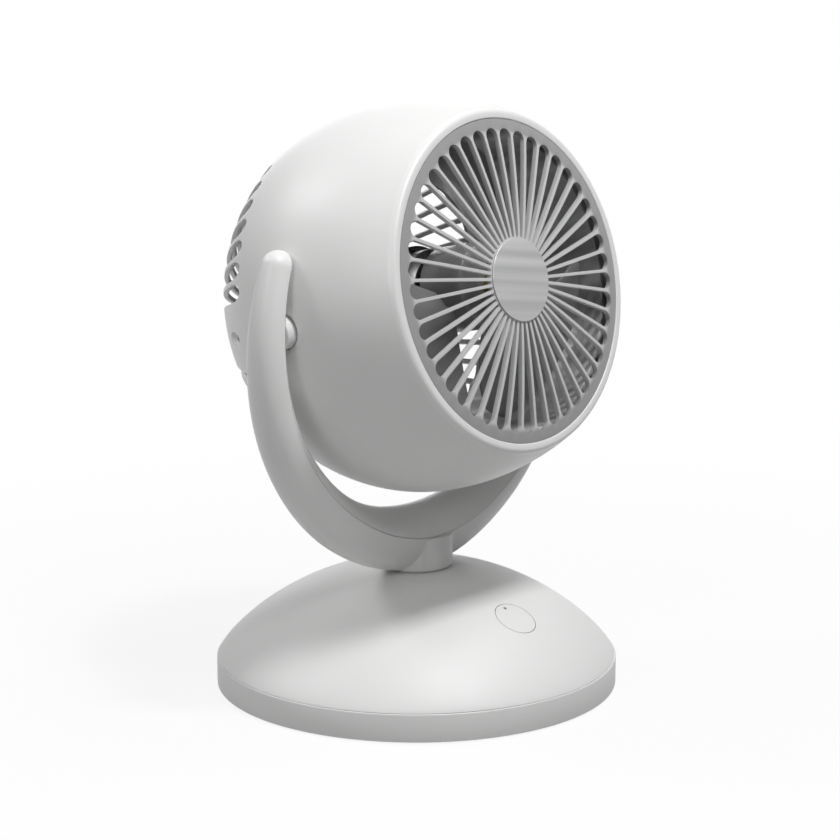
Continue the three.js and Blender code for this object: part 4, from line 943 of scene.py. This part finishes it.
def make_bezel():
    """The bright ring round the grille, its white a touch lighter than the shell's as painted
    light, with a rounded front and no visible joint behind it.
    """
    inner, outer, corner, lip = GRILLE_RADIUS + 0.15, head_radius(0), 1.7, 0.7
    ring = turned("head_bezel", [
        [inner, -BEZEL_DEPTH],
        [head_radius(BEZEL_DEPTH), -BEZEL_DEPTH],
        *round_corner([head_radius(corner), -corner], [outer, 0], [outer - corner, 0]),
        *round_corner([inner + lip, 0], [inner, 0], [inner, -lip], 4),
    ], 200)
    finish_piece(put_in_head(ring), "head", BEZEL_WHITE, "white_plastic", "bezel_ring")


def grille_rise(radius):
    """How far the grille's dome stands out, from a flat middle down to the rim."""
    inside = max(radius, GRILLE_FLAT_RADIUS)
    share = (inside - GRILLE_FLAT_RADIUS) / (GRILLE_RADIUS - GRILLE_FLAT_RADIUS)
    return GRILLE_DOME * max(1 - share**GRILLE_DOME_POWER, 0)


def make_grille():
    """A flat plate whose slots are cut and edges rounded before it is raised to a dome."""
    front, back = -GRILLE_SUNK, -GRILLE_SUNK - GRILLE_THICK
    rings = [20.6, 26, 32, 38, 44, 50, 56, 62, 67, 71.5]
    plate = turned("head_grille", [
        [0, back], *[[r, back] for r in rings], [GRILLE_RADIUS, back],
        [GRILLE_RADIUS, front], *[[r, front] for r in reversed(rings)], [0, front],
    ], 180)
    pitch = 360 / GRILLE_SLOTS
    slot = wedge("slot", SLOT_INNER, SLOT_OUTER, pitch, SPOKE_WIDTH, back - 2, front + 2)
    angles = [90 + GRILLE_TURN + pitch * (i + 0.5) for i in range(GRILLE_SLOTS)]
    cut_by(plate, ring_of_wedges(slot, angles))
    tidy(plate, 0.02)
    round_edges(plate, 0.6, 4, 50)
    for vertex in plate.data.vertices:
        vertex.co.z += grille_rise(math.hypot(vertex.co.x, vertex.co.y) / MM) * MM
    put_in_head(plate)
    finish_piece(plate, "head", GRILLE_SILVER, "grille_plastic", "front_grille", smooth=50)


def make_hub_plate():
    back = -GRILLE_SUNK + GRILLE_DOME + 0.15
    front = back + HUB_PLATE_THICK
    plate = turned("head_hub_plate", [
        [0, back], [HUB_PLATE_RADIUS, back], [HUB_PLATE_RADIUS, front], [0, front],
    ], 120)
    round_edges(plate, 0.35)
    finish_piece(put_in_head(plate), "head", HUB_METAL, "brushed_metal", "hub_plate")


def make_duct():
    """A long liner, softly fluted inside, notched behind where the motor's arms pass. Its dark grey
    is partly the plastic's own and partly painted shade, carried back over the rear shell's unlit
    inside.
    """
    flange = head_radius(-DUCT_FRONT) - SHELL_WALL - 0.9
    duct = turned("head_duct", [
        [DUCT_RADIUS, DUCT_BACK],
        [DUCT_RADIUS + DUCT_WALL, DUCT_BACK],
        [DUCT_RADIUS + DUCT_WALL, DUCT_FRONT - DUCT_WALL],
        [flange, DUCT_FRONT - DUCT_WALL],
        [flange, DUCT_FRONT],
        [DUCT_RADIUS, DUCT_FRONT],
    ], 360)
    edge = 0.4
    round_edges(duct, edge)
    for vertex in duct.data.vertices:
        x, y, z = vertex.co
        radius = math.hypot(x, y)
        if radius < (DUCT_RADIUS + edge + 0.01) * MM and z < (DUCT_FRONT - 1) * MM:
            wave = 1 - abs(math.sin(DUCT_FLUTES / 2 * math.atan2(y, x)))
            vertex.co.x -= x / radius * wave * DUCT_FLUTE_DEPTH * MM
            vertex.co.y -= y / radius * wave * DUCT_FLUTE_DEPTH * MM
    front, back = MOTOR_BACK + 1.4, DUCT_BACK - 1
    for angle in BRACKET_ANGLES:
        size = (4 * DUCT_WALL, DUCT_NOTCH_WIDTH, front - back)
        notch = block("arm_notch", size, (DUCT_RADIUS, 0, (front + back) / 2))
        cut_by(duct, set_place(notch, turn=(0, 0, angle)))
    finish_piece(put_in_head(duct), "head", DUCT_GREY, "dark_plastic", "air_duct")


def make_rear_shell():
    """The tail of the shell, whose outline's steps shorten towards the pole."""
    seam, tail, steps = SEAM_BEHIND_FACE + HALF_SEAM, FACE_TO_WIDEST + TAIL_LENGTH, 60
    pole, start = math.pi / 2, math.asin((seam - FACE_TO_WIDEST) / TAIL_LENGTH)
    outer = []
    for i in range(steps + 1):
        behind = FACE_TO_WIDEST + TAIL_LENGTH * math.sin(pole + (start - pole) * i / steps)
        outer.append([head_radius(behind) if i else 0, -behind])
    inner = offset(outer, SHELL_WALL)[::3]
    inner[0], inner[-1] = [0, -tail + SHELL_WALL], [inner[-1][0], -seam]
    shell = turned("head_rear", [*outer, *reversed(inner)], 200)
    slot = wedge("vent", VENT_INNER, VENT_OUTER, VENT_PITCH, VENT_RIB, -tail - 5, -FACE_TO_WIDEST)
    angles = [
        centre + VENT_PITCH * (i - (count - 1) / 2)
        for count, centre in VENT_GROUPS
        for i in range(count)
    ]
    cut_by(shell, ring_of_wedges(slot, angles))
    sink = SCREW_SINK_RADIUS, -tail, SHELL_SCREW_SEAT, 40
    cut_by(shell, rods_around(SHELL_SCREWS_RADIUS, SHELL_SCREW_ANGLES, *sink))
    round_edges_where(shell, 0.3, lambda place: place.z < -SEAM_BEHIND_FACE - 1, 2, 50)
    finish_piece(put_in_head(shell), "head", WHITE, "white_plastic", "rear_shell", smooth=25)


def make_shell_screws():
    for i, angle in enumerate(SHELL_SCREW_ANGLES):
        piece = screw(f"rear_screw_{i + 1}", 10)
        set_place(piece, on_circle(SHELL_SCREWS_RADIUS, angle, SHELL_SCREW_SEAT - 0.3))
        finish_piece(put_in_head(piece), "head", STEEL, "steel", f"shell_screw_{i + 1}")


def make_motor():
    mouth, hub, dip = MOTOR_FRONT + 1.6, 7, MOTOR_FRONT - 4
    motor = turned("motor_can", [
        [0, MOTOR_BACK], [MOTOR_RADIUS, MOTOR_BACK], [MOTOR_RADIUS, MOTOR_FRONT - 3],
        [MOTOR_RADIUS - 3, MOTOR_FRONT], [hub, MOTOR_FRONT], [hub, mouth],
        [SHAFT_RADIUS, mouth], [SHAFT_RADIUS, dip], [0, dip],
    ], 96)
    round_edges(motor, 0.5)
    finish_piece(put_in_head(motor), "head", STEEL, "steel", "fan_motor")


def make_bracket():
    """A cup behind the motor, with arms out to the shell."""
    front = MOTOR_BACK - 0.3
    back, lip, inner = front - BRACKET_THICK, MOTOR_BACK + 12, MOTOR_RADIUS + 0.3
    bracket = turned("motor_cup", [
        [0, back], [BRACKET_RADIUS, back], [BRACKET_RADIUS, lip], [inner, lip],
        [inner, front], [0, front],
    ], 96)
    start = BRACKET_RADIUS - 1.2
    reach = BRACKET_SCREWS_RADIUS - start
    rib_length = reach - 14
    end_place = (BRACKET_SCREWS_RADIUS, 0, 0)
    for angle in BRACKET_ANGLES:
        size = (reach, ARM_WIDTH, BRACKET_THICK)
        arm = block("arm", size, (start + reach / 2, 0, (front + back) / 2))
        end = set_place(rod("arm_end", ARM_WIDTH / 2, back, front, 40), end_place)
        combine(arm, end, "UNION")
        rib = block("rib", (rib_length, 1.6, 3.4), (26 + rib_length / 2, 0, front + 1.3))
        combine(arm, rib, "UNION")
        hole = rod("arm_hole", SCREW_HOLE_RADIUS, back - 3, front + 3, 32)
        cut_by(arm, set_place(hole, end_place))
        combine(bracket, set_place(arm, turn=(0, 0, angle)), "UNION")
    round_edges(bracket, 0.35, 2)
    finish_piece(put_in_head(bracket), "head", BRACKET_GREY, "dark_plastic", "motor_bracket")
    for i, angle in enumerate(BRACKET_ANGLES):
        piece = screw(f"arm_screw_{i + 1}", 9)
        set_place(piece, on_circle(BRACKET_SCREWS_RADIUS, angle, back - 0.3))
        finish_piece(put_in_head(piece), "head", STEEL, "steel", f"bracket_screw_{i + 1}")


def blade_place(along, across):
    """Out from the hub to the tip, and across a chord that grows, flattens and sweeps."""
    def outward(ends):
        return ends[0] + (ends[1] - ends[0]) * along

    chord, pitch = outward(BLADE_CHORD), math.radians(outward(BLADE_PITCH))
    radius = outward((BLADE_ROOT_RADIUS, IMPELLER_RADIUS))
    s = across * 2 - 1
    shorter = 1 - 0.16 * (max(along - 0.8, 0) / 0.2) ** 2 * s**6
    swing = math.radians(BLADE_SWEEP) * along**2
    turn = swing + s * shorter * chord / 2 * math.cos(pitch) / radius
    lift = s * chord / 2 * math.sin(pitch) + BLADE_CAMBER * along * (1 - s**2)
    middle = (IMPELLER_FRONT + IMPELLER_BACK) / 2
    return radius * math.cos(turn), radius * math.sin(turn), middle + lift


def make_impeller():
    front, back = IMPELLER_FRONT, IMPELLER_BACK
    outer, inner, sleeve = IMPELLER_HUB_RADIUS, IMPELLER_HUB_RADIUS - 2, SHAFT_RADIUS + 2
    hub = turned("impeller_wheel", [
        [SHAFT_RADIUS, front], [SHAFT_RADIUS, back], [sleeve, back], [sleeve, front - 2],
        [inner, front - 5], [inner, back], [outer, back], [outer, front - 4],
        [outer - 1.2, front - 1.2], [outer - 4, front],
    ], 96)
    round_edges(hub, 0.3, 2)
    blade = bent_sheet("blade", 28, 24, blade_place)
    wall = blade.modifiers.new("wall", "SOLIDIFY")
    wall.thickness = BLADE_THICK * MM
    wall.offset = 0
    apply_modifiers(blade)
    round_edges(blade, 0.5, 3, 50)
    blades = [
        set_place(copy_of(blade, f"blade_{i}"), turn=(0, 0, BLADE_START + 360 / BLADES * i))
        for i in range(BLADES)
    ]
    bpy.data.objects.remove(blade)
    join(hub, *blades)
    finish_piece(put_in_head(hub), "impeller_assembly", BLADE_GREY, "blade_plastic", "impeller")
    nut = turned("impeller_cap_nut", [
        [0, front + 0.3], [5, front + 0.3], [5, front + 3.6], [3.6, front + 4.8], [0, front + 5.3],
    ], 6)
    round_edges(nut, 0.3, 2, 20)
    finish_piece(put_in_head(nut), "impeller_assembly", BRASS, "brass", "impeller_nut")


# ---------- CAD pieces that stay ----------
def dress_cad_nodes(nodes):
    """Gives a finish to each solid that shows because no piece above takes its place."""
    finishes = {
        "ballast_plate": STEEL, "frame_screw": STEEL, "swivel_motor": STEEL, "stem_clip": STEEL,
        "pin_washer": STEEL, "pin_clip": STEEL, "motor_shaft": STEEL, "drive_pinion": BRASS,
        "friction_ring": RUBBER, "swivel_frame": BRACKET_GREY, "tact_switch": INLET_BLACK,
        "thrust_washer": BEARING_PLASTIC, "swivel_stem": BEARING_PLASTIC,
        "swivel_gear": BEARING_PLASTIC, "control_board": BOARD,
    }
    for name, node in nodes.items():
        if node.hide_render:
            continue
        for start, material in finishes.items():
            if name.startswith(start):
                node.data.materials.clear()
                node.data.materials.append(material)


# ---------- Floor, light and camera ----------
FLOOR_SEEN = (0.9, 0.9, 0.9)
FLOOR_BOUNCE = (0.35, 0.35, 0.35)
WHITE_NEAR = 0.87  # share of plain white in the floor under the fan
SKY_STRENGTH = 0.02
LAMP_TARGET = Vector((0, 0, 0.15))
LAMP_DISTANCE = 1.8
# Name, degrees round from the front, degrees up, side in metres, watts
LAMPS = (
    ("key", 0, 66, 0.28, 19.2),
    ("right_fill", 50, 66, 0.4, 3.6),
    ("front_fill", -16, 48, 0.5, 5.4),
    ("left_behind", -150, 40, 0.4, 7.2),
    ("left_high", -110, 50, 0.4, 1),
    ("left_low", -84, 20, 0.6, 4.2),
    ("back_fill", 140, 10, 0.8, 3.5),
)
CAMERA_TARGET = Vector((0.0011635, -0.0013176, 0.133461))
CAMERA_ROUND, CAMERA_UP, CAMERA_DISTANCE = -48.553, 12.899, 1.4
CAMERA_SENSOR, CAMERA_LENS = 36, 121.563


def towards(around_degrees, up_degrees):
    """A direction, from degrees round from the front, to the right, and degrees up."""
    azimuth, elevation = math.radians(around_degrees), math.radians(up_degrees)
    return Vector((
        math.sin(azimuth) * math.cos(elevation),
        -math.cos(azimuth) * math.cos(elevation),
        math.sin(elevation),
    ))


def facing_back(direction):
    """The turn of a lamp or camera that stands out in a direction and looks back."""
    return (-direction).to_track_quat("-Z", "Y").to_euler()


def make_floor():
    """A floor that looks white, keeps a shadow near the fan and throws less light back up."""
    bpy.ops.object.select_all(action="DESELECT")
    bpy.ops.mesh.primitive_plane_add(size=12)
    floor = fresh("floor")
    finish = Finish("pale_floor", FLOOR_SEEN, 0.9)
    seen = finish.seen()
    finish.set("Base Color", finish.mix(seen, FLOOR_BOUNCE, FLOOR_SEEN))
    away = finish.length(finish.node("ShaderNodeTexCoord", output="Object"))
    white_share = finish.smooth_step(away, 0.1, 0.6, WHITE_NEAR, 1)
    glow = finish.node("ShaderNodeEmission", sockets={"Color": (1, 1, 1, 1), "Strength": 1.0})
    shown = finish.node(
        "ShaderNodeMixShader",
        sockets={0: seen * white_share, 1: Socket(finish, finish.shader.outputs[0]), 2: glow},
    )
    finish.link(shown, finish.tree.nodes["Material Output"].inputs["Surface"])
    floor.data.materials.append(finish.material)


def make_sky():
    """A white surround to look at, which lights the fan by a small part of that."""
    world = bpy.context.scene.world or bpy.data.worlds.new("studio")
    bpy.context.scene.world = world
    world.use_nodes = True
    sky = Nodes(world.node_tree)
    background = sky.tree.nodes["Background"]
    background.inputs["Color"].default_value = (1, 1, 1, 1)
    sky.link(sky.seen() * (1 - SKY_STRENGTH) + SKY_STRENGTH, background.inputs["Strength"])


def make_lamps():
    """Square area lamps on a dome round the fan, all turned to its middle."""
    for name, around_degrees, up_degrees, side, power in LAMPS:
        direction = towards(around_degrees, up_degrees)
        bpy.ops.object.light_add(type="AREA", location=LAMP_TARGET + direction * LAMP_DISTANCE)
        lamp = bpy.context.active_object
        lamp.name = name
        lamp.data.energy = power
        lamp.data.shape = "SQUARE"
        lamp.data.size = side
        lamp.rotation_euler = facing_back(direction)


def make_camera():
    direction = towards(CAMERA_ROUND, CAMERA_UP)
    bpy.ops.object.camera_add(location=CAMERA_TARGET + direction * CAMERA_DISTANCE)
    camera = bpy.context.active_object
    camera.rotation_euler = facing_back(direction)
    camera.data.sensor_width = CAMERA_SENSOR
    camera.data.lens = CAMERA_LENS
    camera.data.clip_start = 0.01
    bpy.context.scene.camera = camera


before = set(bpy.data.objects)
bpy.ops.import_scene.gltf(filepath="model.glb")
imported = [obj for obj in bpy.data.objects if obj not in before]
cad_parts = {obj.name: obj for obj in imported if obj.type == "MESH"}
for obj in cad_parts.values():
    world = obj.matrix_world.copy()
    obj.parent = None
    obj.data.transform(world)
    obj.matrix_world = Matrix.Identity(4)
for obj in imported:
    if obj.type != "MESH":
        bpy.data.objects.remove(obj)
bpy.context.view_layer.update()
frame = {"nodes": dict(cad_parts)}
bpy.ops.object.select_all(action="DESELECT")

make_base_pan()
make_base_dome()
make_button()
make_feet()
make_base_screws()
make_inlet()
make_fork()
make_pins()
make_front_shell()
make_bezel()
make_grille()
make_hub_plate()
make_duct()
make_rear_shell()
make_shell_screws()
make_motor()
make_bracket()
make_impeller()
dress_cad_nodes(frame["nodes"])

make_floor()
make_sky()
make_lamps()
make_camera()
bpy.context.scene.view_settings.view_transform = "Standard"
